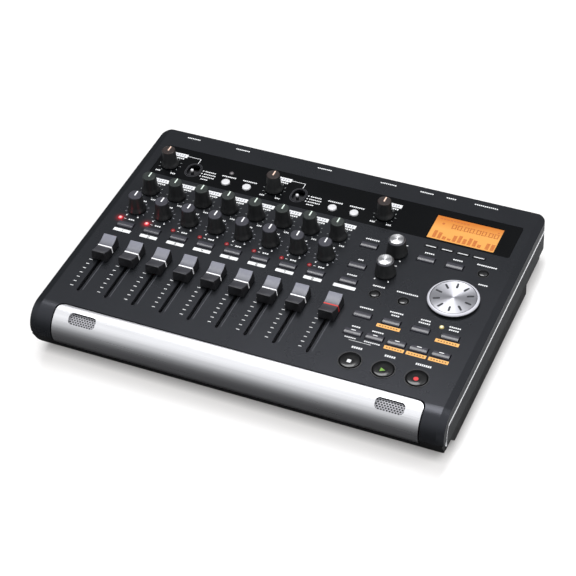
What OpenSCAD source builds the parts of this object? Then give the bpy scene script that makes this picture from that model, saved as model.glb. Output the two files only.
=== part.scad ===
// Desktop digital multitrack recorder: eight channel strips, a master fader, a screen with a
// data wheel, transport keys, and two microphones in a rounded front bar.
// Millimetres. +X is to the right, +Y to the rear, +Z up. The origin is at the bottom centre.

/* [Case] */
// Width of the case over its side panels
body_w = 291; // [264:1:320]
// Depth of the case from its nose to its rear wall
body_d = 207.5; // [188:0.5:228]
// Height of the case without its feet
body_h = 34.5; // [34:0.5:38]
// Thickness of the moulded walls
wall = 2.4; // [2:0.1:2.8]
// Radius of the rear corners seen from above
rear_corner_r = 7; // [5:0.5:10]
// Width of the bevel along the sides of the top and round the ends of the nose
edge_w = 5; // [3.5:0.5:6]
// Drop of that bevel where it meets the sides
edge_drop = 1.1; // [0.8:0.1:1.6]
// Radius of the rounded front edge
nose_r = 15.5; // [14.5:0.5:16]
// Depth of the top cover's skirt along the sides
skirt_h = 8; // [6:0.5:9]
// Height of the bright trim strip under the skirt
trim_h = 2; // [1.5:0.5:3]
// Height of the side panel under the trim strip
side_panel_h = 14.5; // [12:0.5:16]
// Radius of the curved front end of the side panel
flank_r = 22; // [18:1:26]
// Distance of that end behind the nose
flank_setback = 7; // [6:0.5:9]
// Depth below the panel where that end reaches furthest forward
flank_drop = 21; // [18:0.5:23]
// Width of the trim strip where it turns down along that end
flank_trim = 0.8; // [0.6:0.1:1.5]
// Inset of the bottom tray from the sides
tray_inset = 2.5; // [2:0.5:4]
// Depth of the seam between the nose and the tray's front lip
lip_drop = 19.4; // [18:0.2:21]
// Distance of the lip's lower edge behind the nose
lip_setback = 6; // [5:0.5:8]
// Height of the lip's lower edge above the feet
lip_rise = 3.5; // [2:0.5:5]
// Distance of the tray's flat floor behind the nose
floor_setback = 12; // [10:0.5:16]
// Inset of the lip from the sides
lip_inset = 0.8; // [0.7:0.1:1.5]
// Radius of the lip's lower corners seen from the front
lip_corner_r = 3; // [2:0.5:5]
// Front end of the tray's flush side band, behind the nose
band_front = 21.5; // [18:0.5:26]
// Slope length of the band's front end
band_slope = 9; // [6:0.5:10]
// Rear end of the tray's flush side band, in front of the rear wall
band_rear = 43; // [35:1:60]

/* [Feet and screws] */
// Diameter of a rubber foot
foot_d = 16; // [10:1:20]
// Height of a rubber foot
foot_h = 3.5; // [2:0.5:6]
// Distance of the feet from the sides of the case
foot_side = 29.5; // [25:0.5:55]
// Distance of the feet from the front and the rear of the case
foot_end = 27.75; // [24:0.25:44]
// Diameter of a screw boss
boss_d = 8; // [7:0.5:9]
// Diameter of a case screw
screw_d = 3; // [2.5:0.5:3]
// Diameter of its head
screw_head_d = 5.6; // [5:0.2:6]
// Height of its head
screw_head_h = 2.2; // [1.6:0.2:3]
// Length of a case screw under its head
screw_l = 12; // [10:1:14]
// Thickness of the boss web that the head bears on
boss_web = 4; // [3:0.5:6]
// Distance of the outer screws from the side of the case
screw_edge = 9.5; // [9:0.5:11]

/* [Front bar and microphones] */
// Distance of the bright front bar's ends from the sides of the case
bar_end = 16.8; // [15:0.1:20]
// Radius of the bar's upper corners
bar_corner_r = 5.5; // [4:0.5:10]
// Gap between the bar and the case round it
bar_gap = 0.9; // [0.3:0.1:1]
// Distance of the microphones from the sides of the case
mic_side = 37.5; // [34:0.5:50]
// Width of a microphone opening
mic_w = 19.6; // [16:0.2:24]
// Height of a microphone opening
mic_h = 8; // [7:0.2:9]
// Corner radius of a microphone opening
mic_corner_r = 2.8; // [2:0.1:3.2]
// Lean of the microphone openings from straight up
mic_tilt = 32.5; // [28:0.5:36]
// Thickness of the grille
grille_t = 0.8; // [0.6:0.1:1.2]
// Diameter of a microphone capsule
capsule_d = 8; // [6:0.2:9]
// Height of a microphone capsule
capsule_h = 5; // [3:0.5:6]

/* [Display strip] */
// Distance of the glossy display strip from the sides of the case
inlay_side = 11.2; // [9.5:0.1:12.5]
// Depth of the display strip, front to back
inlay_d = 32; // [31:0.5:34]
// Thickness of the display strip
inlay_t = 1.2; // [0.8:0.1:1.4]
// Corner radius of the display strip
inlay_r = 1.5; // [1:0.5:3]
// Distance of the display strip from the rear edge
inlay_rear = 17.5; // [17:0.5:18]
// Middle of the screen, sideways
screen_x = 99; // [96:0.5:100]
// Middle of the screen, from the rear edge
screen_row = 35.6; // [34:0.1:37]
// Width of the screen window
screen_w = 48; // [44:0.5:50]
// Depth of the screen window, front to back
screen_d = 24.5; // [22:0.5:26]
// Frame of the display module round the window
screen_frame = 4; // [3:0.5:4.5]

/* [Channel layout] */
// Distance of the outermost column of controls from the side of the case
layout_side = 22; // [21:0.5:24]
// Distance of the frontmost row of controls from the front of the case
layout_front = 30; // [29:0.5:34]
// Middle of the first channel strip
first_channel_x = -123.2; // [-125:0.1:-122]
// Spacing of the channel strips
channel_pitch = 20.35; // [20:0.05:20.5]
// Spacing of the master fader from the last channel
master_gap = 23.4; // [22.5:0.1:24]
// Gain and headphone knobs, from the rear edge
trim_row = 37.2; // [36:0.1:38]
// Headphone knob to the left of the master fader
phones_gap = 1.5; // [0:0.1:2]
// Input selectors, from the rear edge
selector_row = 37.5; // [36:0.1:39]
// Input selector to the right of its gain knob
selector_gap = 18.5; // [17:0.1:20]
// White push buttons, from the rear edge
white_row = 41.8; // [40:0.1:43]
// First white push button to the right of its gain knob
white_gap = 45.8; // [44:0.1:47]
// Spacing of the two white push buttons of an input
white_pitch = 16.2; // [15:0.1:17]
// Send knobs, from the rear edge
send_row = 68; // [67:0.1:69]
// Pan knobs, from the rear edge
pan_row = 89.6; // [89:0.1:90.5]
// Arm lamps, from the rear edge
lamp_row = 101.1; // [100.5:0.1:101.5]
// Arm lamps to the left of their channel's middle
lamp_gap = 7.2; // [6.5:0.1:8]
// Arm keys, from the rear edge
arm_row = 107.2; // [106.5:0.1:108]
// Faders at rest, behind the front end of their travel
fader_set = 38; // [15:0.5:40]
// Front end of the fader slots, from the rear edge
slot_row = 177.5; // [177:0.5:178]

/* [Right-hand layout] */
// First column of keys on the right
right_column_x = 63.5; // [63:0.1:64]
// Spacing of the columns on the right
column_pitch = 20; // [19.8:0.1:20.2]
// Soft keys, in front of the middle of the screen
soft_gap = 20.4; // [20:0.1:21.5]
// Spacing of the soft keys
soft_pitch = 11.3; // [10.5:0.1:12]
// Menu keys and the upper encoder, from the rear edge
menu_row = 69.8; // [69:0.1:71]
// Lower encoder, from the rear edge
lower_row = 91.3; // [90.5:0.1:92]
// Encoders to the left of the first column
encoder_gap = 0.8; // [0:0.1:1.5]
// Data wheel, from the rear edge
wheel_row = 100.8; // [100:0.1:102]
// Middle of the data wheel
wheel_x = 113.8; // [113:0.1:115]
// Small round keys under the encoders, from the rear edge
round_row = 112.5; // [111:0.1:114]
// Locate keys, from the rear edge
locate_row = 134; // [133:0.1:135]
// Wind keys, from the rear edge
wind_row = 150.8; // [150:0.1:152]
// Spacing of the wind keys
wind_pitch = 15; // [14.5:0.1:15.2]
// Transport buttons, from the rear edge
transport_row = 174.9; // [174:0.1:177]
// First transport button
transport_x = 71.2; // [70:0.1:73]
// Spacing of the transport buttons
transport_pitch = 22.5; // [22:0.1:23]

/* [Knobs] */
// Height of the knobs above the panel
knob_h = 13.5; // [11:0.5:16]
// Diameter of a knob at its base
knob_base_d = 12.8; // [11:0.1:14]
// Diameter of a knob where its flared foot ends
knob_waist_d = 10.4; // [9.5:0.1:10.9]
// Diameter of a knob at its top
knob_top_d = 9.2; // [8:0.1:9.4]
// Height of a knob's flared foot
knob_flare_h = 4; // [3:0.5:6]
// Height of the encoder knobs above the panel
encoder_h = 12.5; // [10:0.5:14]
// Diameter of an encoder knob at its base
encoder_base_d = 14.5; // [13:0.5:16]
// Diameter of an encoder knob at its top
encoder_top_d = 11.5; // [10.5:0.5:12.5]
// Diameter of the data wheel
wheel_d = 34.5; // [30:0.5:35]
// Height of the data wheel above the panel
wheel_h = 3.2; // [2.6:0.2:5]
// Number of finger slots in the data wheel
wheel_slots = 10; // [6:1:14]
// Diameter of the control shafts
shaft_d = 6; // [5:0.5:6]
// Running clearance of a shaft in its bush, all round
shaft_play = 0.05; // [0.03:0.01:0.1]
// Gap between a knob and the panel
knob_lift = 0.8; // [0.6:0.1:1.2]

/* [Faders] */
// Travel of a fader
fader_travel = 45; // [40:1:47]
// Length of a fader cap
cap_l = 18.6; // [16:0.2:20]
// Width of a fader cap at its base
cap_w = 11.4; // [10:0.1:12]
// Width of a fader cap at its top
cap_top_w = 9.8; // [8:0.1:9.9]
// Height of a fader cap above the panel
cap_h = 8.2; // [7:0.1:10]
// Depth of the finger saddle in a fader cap
saddle = 2.4; // [1.5:0.1:3]
// Thickness of a fader lever
lever_t = 1.4; // [1:0.1:1.8]
// Length of a fader lever along its travel
lever_l = 4; // [3:0.5:5]

/* [Keys] */
// Width of a bar key
key_w = 11.6; // [10:0.1:12]
// Depth of a bar key, front to back
key_d = 4.6; // [4:0.1:5]
// Height of a bar key above the panel
key_h = 1.2; // [0.6:0.1:2]
// Width of a soft key
soft_w = 8; // [7:0.1:8.5]
// Depth of a soft key, front to back
soft_d = 2.2; // [2:0.1:2.6]
// Diameter of a small round key
round_d = 6.4; // [5:0.1:7]
// Diameter of a white push button
white_d = 6.2; // [5:0.1:7]
// Diameter of a transport button
transport_d = 13.7; // [12:0.1:15]
// Travel of the keys and buttons
key_travel = 1; // [0.6:0.1:1.4]
// Clearance round what moves in the panel
play = 0.5; // [0.35:0.05:0.6]
// Gap between fixed pieces that fit together
seam = 0.15; // [0.1:0.05:0.2]

/* [Boards and sockets] */
// Depth of the panel board's top below the panel
board_drop = 13; // [12.5:0.1:13.5]
// Thickness of a circuit board
board_t = 1.6; // [1.2:0.1:2]
// Height of the main board's top above the feet
main_board_rise = 7.5; // [6.5:0.1:8]
// Height of the socket axes above the feet
socket_rise = 14; // [13.5:0.1:14.5]
// Height of the input sockets' axes above the feet
input_rise = 16; // [15.5:0.1:16.5]
// Radius of a jack bore
jack_r = 3.25; // [3.2:0.01:3.3]
// Depth of a jack bore
jack_l = 20; // [18:0.5:22]
// Diameter of an input socket's face
input_d = 21.8; // [20:0.2:22.4]
// Width of an input socket's body
input_w = 25; // [24:0.5:27]
// Depth of the socket bodies behind the rear wall
socket_depth = 23; // [22:0.5:24]
// Positions of the two input sockets
input_a_x = -80.7; // [-84:0.1:-78]
input_b_x = -17; // [-20:0.1:-14]
// Positions of the remote, line left, line right and headphone sockets
remote_x = -119.7; // [-121:0.1:-116]
line_left_x = 22.5; // [20:0.1:24]
line_right_x = 39.5; // [38.5:0.1:41]
phones_x = 60; // [58:0.1:61]
// Position of the supply inlet
inlet_x = 77.4; // [76:0.1:80]
// Position of the power button
power_x = 103.4; // [100:0.1:108]
// Width of the power button
power_w = 10; // [8:0.5:12]
// Height of the power button
power_h = 6; // [5:0.5:7]
// Travel of the power button
power_travel = 2; // [1:0.5:3]

/* [Hidden] */

$fn = 64;
// Overlap that joins or cuts through solids cleanly
eps = 1;

half_w = body_w / 2;
front_y = -body_d / 2;
rear_y = body_d / 2;
panel_z = foot_h + body_h;
under_z = panel_z - wall;
nose_y = front_y + nose_r;
nose_z = panel_z - nose_r;
bar_rear_y = nose_y;
bar_w = body_w - 2 * bar_end;
mic_x = half_w - mic_side;
inlay_w = body_w - 2 * inlay_side;
seam_z = panel_z - skirt_h;
strip_z = seam_z - trim_h;
tray_top_z = strip_z - side_panel_h;
rear_wall_x = half_w - rear_corner_r;
// Centre of the curved front end of the side panels
flank_y = front_y + flank_setback + flank_r;
flank_z = panel_z - flank_drop;
// Seam of the front lip, and where the lip meets the side panels
lip_z = panel_z - lip_drop;
lip_y = nose_y - sqrt(pow(nose_r, 2) - pow(lip_z - nose_z, 2));
lip_end_y = flank_y - flank_r - flank_trim - seam;

// Columns are drawn from the middle of the case and rows from its rear edge. They spread with the
// case, so that the outermost ones keep their distance from its sides and its front
outer_column = max(-first_channel_x, right_column_x + 3 * column_pitch);
front_row = max(slot_row, transport_row);
function spread(x) = x * (half_w - layout_side) / outer_column;
function row(d) = rear_y - d * (body_d - layout_front) / front_row;
function channel_x(i) = spread(first_channel_x + i * channel_pitch);
function column_x(i) = spread(right_column_x + i * column_pitch);
channel_count = 8;
channels = [0:channel_count - 1];
input_channels = [0, channel_count / 2];
last_channel_x = channel_x(channel_count - 1);
master_x = last_channel_x + spread(master_gap);
screen_mid = [spread(screen_x), row(screen_row)];

send_points = [for (i = channels) [channel_x(i), row(send_row)]];
pan_points = [for (i = channels) [channel_x(i), row(pan_row)]];
gain_points = [for (i = input_channels) [channel_x(i), row(trim_row)]];
phones_point = [master_x - phones_gap, row(trim_row)];
encoder_points = [for (d = [menu_row, lower_row]) [column_x(0) - encoder_gap, row(d)]];
wheel_point = [spread(wheel_x), row(wheel_row)];
selector_points = [for (i = input_channels) [channel_x(i) + spread(selector_gap), row(selector_row)]];
white_points = [for (i = input_channels, k = [0, 1])
    [channel_x(i) + spread(white_gap + k * white_pitch), row(white_row)]];
arm_points = [for (i = channels) [channel_x(i), row(arm_row)]];
soft_points = [for (i = [0:3]) screen_mid + [(i - 1.5) * soft_pitch, -soft_gap]];
menu_points = [for (i = [1, 2]) [column_x(i), row(menu_row)]];
round_points = [[column_x(3), row(menu_row)], [column_x(0), row(round_row)], [column_x(1), row(round_row)]];
effect_points = [for (d = [menu_row, lower_row, arm_row]) [master_x, row(d)]];
locate_points = concat([for (i = [0:3]) [column_x(i), row(locate_row)]],
    [for (i = [0:4]) [spread(right_column_x + i * wind_pitch), row(wind_row)]]);
transport_points = [for (i = [0:2]) [spread(transport_x + i * transport_pitch), row(transport_row)]];
undo_lamp_gap = 8.4;
undo_lamp_rise = 7.4;
input_lamp_rise = 10.3;
lamp_points = concat([for (i = channels) [channel_x(i) - lamp_gap, row(lamp_row)]],
    [[column_x(3) - undo_lamp_gap, row(locate_row - undo_lamp_rise)],
    [white_points[0].x, row(white_row - input_lamp_rise)]]);
bar_key_points = concat(arm_points, menu_points, effect_points, locate_points);
shaft_points = concat(send_points, pan_points, gain_points, [phones_point], encoder_points, [wheel_point]);
round_key_points = concat(round_points, white_points, transport_points);

// Fader slots: the lever runs from the front end of its slot
slot_front_y = row(slot_row);
slot_w = lever_t + 2 * play;
slot_l = fader_travel + lever_l + 2 * play;
slot_mid_y = slot_front_y + slot_l / 2;
fader_y = slot_front_y + play + lever_l / 2 + fader_set;
fader_xs = concat([for (i = channels) channel_x(i)], [master_x]);

// Heights under the panel
board_z = panel_z - board_drop;
board_under_z = board_z - board_t;
pot_h = 6.5;
pot_w = 10;
pot_d = 11;
bush_d = shaft_d + 2.4;
bush_z = under_z - play;
shaft_end_z = board_z + 2.5;
slide_pot_w = 9;
slide_pot_h = 7;
slide_pot_end = 6;
lever_end_z = board_z + 3;
switch_w = 6;
switch_h = 3.5;
plunger_d = 3;
plunger_h = 1;
key_stem_d = 2.4;
key_stem_end_z = board_z + switch_h + plunger_h + key_travel + 0.3;
key_flange = 1;
key_flange_t = 1;
soft_h = 0.5;
round_h = 0.9;
transport_h = 1.1;
lamp_d = 3.2;
selector_w = 8.6;
selector_d = 12.2;
selector_nub_d = 3;
selector_travel = 2;
selector_plate_t = 1.2;
selector_body_h = 8;

// Screws: each clamps the panel board between a boss of the tray and a boss of the top cover
screw_x = half_w - screw_edge;
screw_mid_x = (last_channel_x + master_x) / 2;
screw_rear_row = 56;
screw_wheel_row = 76;
screw_front_row = 162;
screw_points = [[-screw_x, row(screw_rear_row)], [-screw_x, row(screw_front_row)],
    [screw_mid_x, row(screw_rear_row)], [screw_mid_x, row(screw_front_row)],
    [screw_x, row(screw_wheel_row)], [screw_x, row(screw_front_row)]];
screw_head_z = board_under_z - boss_web;
screw_tip_z = screw_head_z + screw_l;

// Boards
panel_board_edge = 5;
panel_board_nose_gap = 6;
panel_board_front_y = nose_y + panel_board_nose_gap;
panel_board_rear_row = 29.5;
main_board_z = foot_h + main_board_rise;
main_board_l = 70;
main_board_front_y = rear_y - main_board_l;
main_board_rear_gap = 2;
main_board_left_edge = 15.5;
main_board_right_edge = 20.5;
main_board_w = body_w - main_board_left_edge - main_board_right_edge;
standoff_d = 7;
main_screw_edge = 8;
main_screw_outer_l = 104;
main_screw_left = 48;
main_screw_right = 50;
main_screw_outer_r = 116;
main_screw_points = [for (x = [-main_screw_outer_l, -main_screw_left, main_screw_right, main_screw_outer_r])
    [spread(x), main_board_front_y + main_screw_edge]];

// Sockets in the rear wall
socket_z = foot_h + socket_rise;
input_z = foot_h + input_rise;
socket_face_y = rear_y - wall - seam;
input_points = [for (x = [input_a_x, input_b_x]) [spread(x), input_z]];
jack_points = [for (x = [remote_x, line_left_x, line_right_x, phones_x]) [spread(x), socket_z]];
jack_bush_d = 9.4;
jack_body_w = 14;
inlet_point = [spread(inlet_x), socket_z];
power_mid_x = spread(power_x);
inlet_d = 7.6;
inlet_bore_d = 5.6;
inlet_pin_d = 2;
inlet_depth = 10;
inlet_body_w = 9.4;

// Plan shapes

module rounded_plate(w, d, r) {
    square([w - 2 * r, d], center = true);
    square([w, d - 2 * r], center = true);
    for (x = [-1, 1], y = [-1, 1])
        translate([x * (w / 2 - r), y * (d / 2 - r)]) circle(r);
}

module slot_plate(w, d) {
    square([w, d - w], center = true);
    for (y = [-1, 1])
        translate([0, y * (d - w) / 2]) circle(d = w);
}

// Plate from y0 to y1 with its own radius at the front corners and at the rear corners
module plan_plate(w, y0, y1, r_front, r_rear) {
    translate([-w / 2, y0 + r_front]) square([w, y1 - r_rear - y0 - r_front]);
    translate([-w / 2 + r_front, y0]) square([w - 2 * r_front, y1 - r_rear - y0]);
    translate([-w / 2 + r_rear, y0 + r_front]) square([w - 2 * r_rear, y1 - y0 - r_front]);
    for (x = [-1, 1]) {
        translate([x * (w / 2 - r_front), y0 + r_front]) circle(r_front);
        translate([x * (w / 2 - r_rear), y1 - r_rear]) circle(r_rear);
    }
}

// Case seen from above
module case_plan(inset) {
    intersection() {
        plan_plate(body_w - 2 * inset, 2 * front_y, rear_y - inset, rear_corner_r, rear_corner_r - inset);
        translate([-body_w, front_y + inset]) square([2 * body_w, body_d]);
    }
}

module tray_plan(inset) {
    plan_plate(body_w - 2 * tray_inset - 2 * inset, front_y + inset, rear_y - inset,
        2 * tray_inset - inset / 2, rear_corner_r - inset);
}

// The tray's front lip is wider than the tray behind it
module lip_plan() {
    intersection() {
        case_plan(lip_inset);
        translate([-body_w, 2 * front_y]) square([2 * body_w, lip_end_y - 2 * front_y]);
    }
}

module bar_plan(grow) {
    plan_plate(bar_w + 2 * grow, front_y - 2 * eps - bar_corner_r, bar_rear_y + grow,
        bar_corner_r, bar_corner_r);
}

// Solids that are profiles in the Y-Z plane, drawn right across the case

module across() {
    rotate([90, 0, 90]) linear_extrude(2 * body_w, center = true) children();
}

// Case seen from the side: the round nose and a slab
module side_profile() {
    translate([nose_y, nose_z]) circle(nose_r);
    translate([nose_y, foot_h]) square([body_d, body_h]);
}

module hollow_profile() {
    translate([nose_y, nose_z]) circle(nose_r - wall);
    translate([nose_y, foot_h]) square([rear_y - nose_y, body_h - wall]);
}

module nose_cylinder(r) {
    translate([0, nose_y, nose_z]) rotate([0, 90, 0]) cylinder(r = r, h = 2 * body_w, center = true);
}

// Side region behind the curved front end, from z0 to z1
module flank_profile(z0, z1, grow) {
    intersection() {
        translate([front_y, z0]) square([body_d + eps, z1 - z0]);
        union() {
            translate([flank_y, flank_z]) circle(flank_r + grow);
            translate([flank_y, -body_h]) square([body_d, 3 * body_h]);
        }
    }
}

// The whole case, with a bevel along the sides of its top and round the ends of its nose
module case_block() {
    difference() {
        intersection() {
            translate([0, 0, foot_h]) linear_extrude(body_h) case_plan(0);
            across() side_profile();
        }
        for (side = [0, 1]) mirror([side, 0, 0]) {
            translate([half_w, rear_y + eps, panel_z]) rotate([90, 0, 0])
                linear_extrude(rear_y + eps - nose_y) bevel_section();
            translate([half_w, nose_y, nose_z]) rotate([0, 90, 0]) rotate(180)
                rotate_extrude(angle = 180) translate([nose_r, 0]) mirror([1, -1]) bevel_section();
        }
    }
}

// What the bevel takes off a corner: X runs out of the side and Y out of the top
module bevel_section() {
    slope = edge_drop / edge_w;
    polygon([[-edge_w, 0], [eps, -slope * (edge_w + eps)], [eps, eps], [-edge_w, eps]]);
}

module case_hollow() {
    intersection() {
        translate([0, 0, foot_h - eps]) linear_extrude(body_h - wall + eps) case_plan(wall);
        across() hollow_profile();
    }
}

// Tray seen from the side: a lip under the nose and a flat floor
module tray_profile() {
    top_z = tray_top_z - seam;
    polygon([[lip_y, lip_z - seam], [lip_end_y, lip_z - seam], [lip_end_y, top_z], [rear_y + eps, top_z],
        [rear_y + eps, foot_h], [front_y + floor_setback, foot_h],
        [front_y + lip_setback, foot_h + lip_rise]]);
}

// What the rounded lower corners take off the lip
module lip_corners() {
    for (side = [0, 1])
        mirror([side, 0, 0]) translate([half_w - lip_inset, lip_end_y, foot_h + lip_rise]) rotate([90, 0, 0])
            linear_extrude(body_d) difference() {
                translate([-lip_corner_r, -eps]) square([lip_corner_r + eps, lip_corner_r + eps]);
                translate([-lip_corner_r, lip_corner_r]) circle(lip_corner_r);
            }
}

module band_profile() {
    top_z = tray_top_z - seam;
    polygon([[front_y + band_front, foot_h], [front_y + band_front - band_slope, top_z],
        [rear_y - band_rear, top_z], [rear_y - band_rear, foot_h]]);
}

module at(points, z) {
    for (p = points) translate([p.x, p.y, z]) children();
}

// Holes of the controls in the panel and in the display strip

module strip_holes() {
    at(concat(gain_points, [phones_point]), 0) circle(d = shaft_d + 2 * play);
    at(selector_points, 0) slot_plate(selector_w, selector_d);
    at(white_points, 0) circle(d = white_d + 2 * play);
    translate(screen_mid) square([screen_w, screen_d], center = true);
    translate(lamp_points[len(lamp_points) - 1]) circle(d = lamp_d + 2 * seam);
}

module panel_holes() {
    strip_holes();
    at(concat(send_points, pan_points, encoder_points, [wheel_point]), 0) circle(d = shaft_d + 2 * play);
    at(lamp_points, 0) circle(d = lamp_d + 2 * seam);
    at(bar_key_points, 0) square([key_w + 2 * play, key_d + 2 * play], center = true);
    at(soft_points, 0) square([soft_w + 2 * play, soft_d + 2 * play], center = true);
    at(round_points, 0) circle(d = round_d + 2 * play);
    at(transport_points, 0) circle(d = transport_d + 2 * play);
    for (x = fader_xs) translate([x, slot_mid_y]) slot_plate(slot_w, slot_l);
}

// Case

module top_cover() color([0.2, 0.2, 0.22]) {
    difference() {
        case_block();
        case_hollow();
        across() flank_profile(-eps, seam_z, flank_trim + seam);
        translate([-body_w, front_y - eps, -eps]) cube([2 * body_w, body_d + 2 * eps, lip_z + eps]);
        translate([-rear_wall_x, rear_y - wall - seam, -eps])
            cube([2 * rear_wall_x, wall + 2 * eps, under_z + eps]);
        translate([0, 0, -eps]) linear_extrude(panel_z + 2 * eps) bar_plan(bar_gap);
        translate([0, 0, panel_z - inlay_t]) linear_extrude(inlay_t + eps) strip_seat(seam);
        translate([0, 0, under_z - eps]) linear_extrude(wall + 2 * eps) panel_holes();
    }
    difference() {
        at(screw_points, board_z) cylinder(d = boss_d, h = under_z + wall / 2 - board_z);
        at(screw_points, board_z - eps)
            cylinder(d = screw_d + 2 * shaft_play, h = screw_tip_z + eps - board_z + eps);
    }
}

module strip_seat(grow) {
    translate([0, row(inlay_rear + inlay_d / 2)])
        rounded_plate(inlay_w + 2 * grow, inlay_d + 2 * grow, inlay_r + grow);
}

module display_panel() color([0.03, 0.03, 0.035]) {
    translate([0, 0, panel_z - inlay_t]) linear_extrude(inlay_t) difference() {
        strip_seat(0);
        strip_holes();
    }
}

module bottom_cover() color([0.09, 0.09, 0.1]) {
    difference() {
        union() {
            difference() {
                intersection() {
                    translate([0, 0, foot_h]) linear_extrude(body_h) {
                        lip_plan();
                        tray_plan(0);
                    }
                    across() tray_profile();
                }
                lip_corners();
                translate([0, 0, foot_h + wall]) linear_extrude(body_h) intersection() {
                    tray_plan(wall);
                    translate([-body_w, lip_end_y + wall]) square([2 * body_w, body_d]);
                }
            }
            for (side = [-1, 1])
                translate([side * (half_w - (tray_inset + wall / 2) / 2), 0, 0]) rotate([90, 0, 90])
                    linear_extrude(tray_inset + wall / 2, center = true) band_profile();
            translate([seam - rear_wall_x, rear_y - wall, foot_h])
                cube([2 * (rear_wall_x - seam), wall, body_h - wall - seam]);
            at(screw_points, foot_h + wall / 2) cylinder(d = boss_d, h = board_under_z - foot_h - wall / 2);
            at(main_screw_points, foot_h + wall / 2)
                cylinder(d = standoff_d, h = main_board_z - board_t - foot_h - wall / 2);
        }
        intersection() {
            nose_cylinder(nose_r + seam);
            translate([0, 0, -eps]) linear_extrude(panel_z + 2 * eps) bar_plan(bar_gap);
        }
        at(screw_points, foot_h - eps) cylinder(d = screw_head_d + 2 * play, h = screw_head_z - foot_h + eps);
        at(screw_points, foot_h) cylinder(d = screw_d + 2 * seam, h = body_h);
        at(main_screw_points, foot_h + wall)
            cylinder(d = screw_d + 2 * shaft_play, h = body_h);
        at_wall(input_points) cylinder(d = input_d + 2 * seam, h = 2 * wall + eps);
        at_wall(jack_points) cylinder(d = jack_bush_d + 2 * seam, h = 2 * wall + eps);
        at_wall([inlet_point]) cylinder(d = inlet_d + 2 * seam, h = 2 * wall + eps);
        translate([power_mid_x - power_w / 2 - play, rear_y - 2 * wall, socket_z - power_h / 2 - play])
            cube([power_w + 2 * play, 3 * wall, power_h + 2 * play]);
    }
}

// Children point out of the rear wall, with their base one wall behind its inner face
module at_wall(points) {
    for (p = points) translate([p.x, rear_y - 2 * wall, p.y]) rotate([-90, 0, 0]) children();
}

module front_bar() color([0.75, 0.75, 0.77]) {
    ledge_l = 4;
    ledge_x = mic_x - mic_w / 2 - ledge_l;
    difference() {
        union() {
            intersection() {
                difference() {
                    nose_cylinder(nose_r);
                    nose_cylinder(nose_r - wall);
                }
                translate([0, 0, -eps]) linear_extrude(panel_z + 2 * eps) bar_plan(0);
            }
            translate([-ledge_x, nose_y - ledge_l, under_z - seam - wall])
                cube([2 * ledge_x, 2 * ledge_l, wall]);
        }
        mic_places() linear_extrude(2 * nose_r) rounded_plate(mic_w, mic_h, mic_corner_r);
    }
}

module mic_places() {
    for (side = [-1, 1]) translate([side * mic_x, nose_y, nose_z]) rotate([mic_tilt, 0, 0]) children();
}

module microphones() color([0.55, 0.55, 0.57]) {
    grille_rim = 1.2;
    grille_r = nose_r - wall - seam;
    intersection() {
        difference() {
            nose_cylinder(grille_r);
            nose_cylinder(grille_r - grille_t);
        }
        mic_places() linear_extrude(2 * nose_r)
            rounded_plate(mic_w + 2 * grille_rim, mic_h + grille_rim, mic_corner_r);
    }
    mic_places() translate([0, 0, grille_r - grille_t - seam - capsule_h - capsule_d / 8])
        cylinder(d = capsule_d, h = capsule_h);
}

module side_region(z0, z1, grow) {
    intersection() {
        translate([0, 0, z0]) linear_extrude(z1 - z0) difference() {
            case_plan(0);
            case_plan(wall);
            translate([-rear_wall_x, front_y - eps]) square([2 * rear_wall_x, body_d + 2 * eps]);
        }
        across() flank_profile(z0, z1, grow);
    }
}

module side_panels() color([0.25, 0.26, 0.27]) {
    side_region(tray_top_z, strip_z - seam, 0);
}

module side_trims() color([0.8, 0.8, 0.8]) {
    difference() {
        side_region(tray_top_z, seam_z - seam, flank_trim);
        across() flank_profile(tray_top_z - eps, strip_z, seam);
    }
}

module rubber_feet() color([0.05, 0.05, 0.05]) {
    for (x = [-1, 1], y = [-1, 1])
        translate([x * (half_w - foot_side), y * (rear_y - foot_end), 0]) cylinder(d = foot_d, h = foot_h);
}

module screw() {
    cylinder(d = screw_d, h = screw_l);
    translate([0, 0, -screw_head_h]) cylinder(d = screw_head_d, h = screw_head_h + seam / 2);
}

module case_screws() color([0.5, 0.5, 0.52]) {
    at(screw_points, screw_head_z - seam / 2) screw();
    at(main_screw_points, main_board_z) mirror([0, 0, 1]) short_screw();
}

module short_screw() {
    main_screw_l = main_board_rise - wall - seam;
    cylinder(d = screw_d, h = main_screw_l);
    translate([0, 0, -screw_head_h]) cylinder(d = screw_head_d, h = screw_head_h);
}

// Inside

module circuit_boards() color([0.1, 0.35, 0.18]) {
    board_left = -half_w + panel_board_edge;
    difference() {
        translate([0, 0, board_under_z]) linear_extrude(board_t) {
            translate([board_left, panel_board_front_y])
                square([-2 * board_left, row(panel_board_rear_row) - panel_board_front_y]);
            translate([screen_mid.x - screen_w / 2 - screen_frame, screen_mid.y - soft_gap])
                square([screen_w + 2 * screen_frame, soft_gap + screen_d / 2 + screen_frame]);
        }
        at(screw_points, 0) cylinder(d = screw_d + 2 * seam, h = panel_z);
    }
    difference() {
        translate([main_board_left_edge - half_w, main_board_front_y, main_board_z - board_t])
            cube([main_board_w, main_board_l - wall - main_board_rear_gap, board_t]);
        for (p = input_points)
            translate([p.x - input_w / 2 - play, rear_y - wall - socket_depth - 2 * play, 0])
                cube([input_w + 2 * play, socket_depth + 2 * wall, panel_z]);
        at(main_screw_points, 0) cylinder(d = screw_d + 2 * seam, h = panel_z);
        at(screw_points, 0) cylinder(d = boss_d + 2 * play, h = panel_z);
    }
}

module display_module() color([0.9, 0.5, 0.15]) {
    glass_drop = 0.5;
    translate([screen_mid.x, screen_mid.y, board_z]) {
        linear_extrude(board_drop - wall - seam)
            square([screen_w + 2 * screen_frame, screen_d + 2 * screen_frame], center = true);
        linear_extrude(board_drop - glass_drop)
            square([screen_w - 2 * seam, screen_d - 2 * seam], center = true);
    }
}

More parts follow.
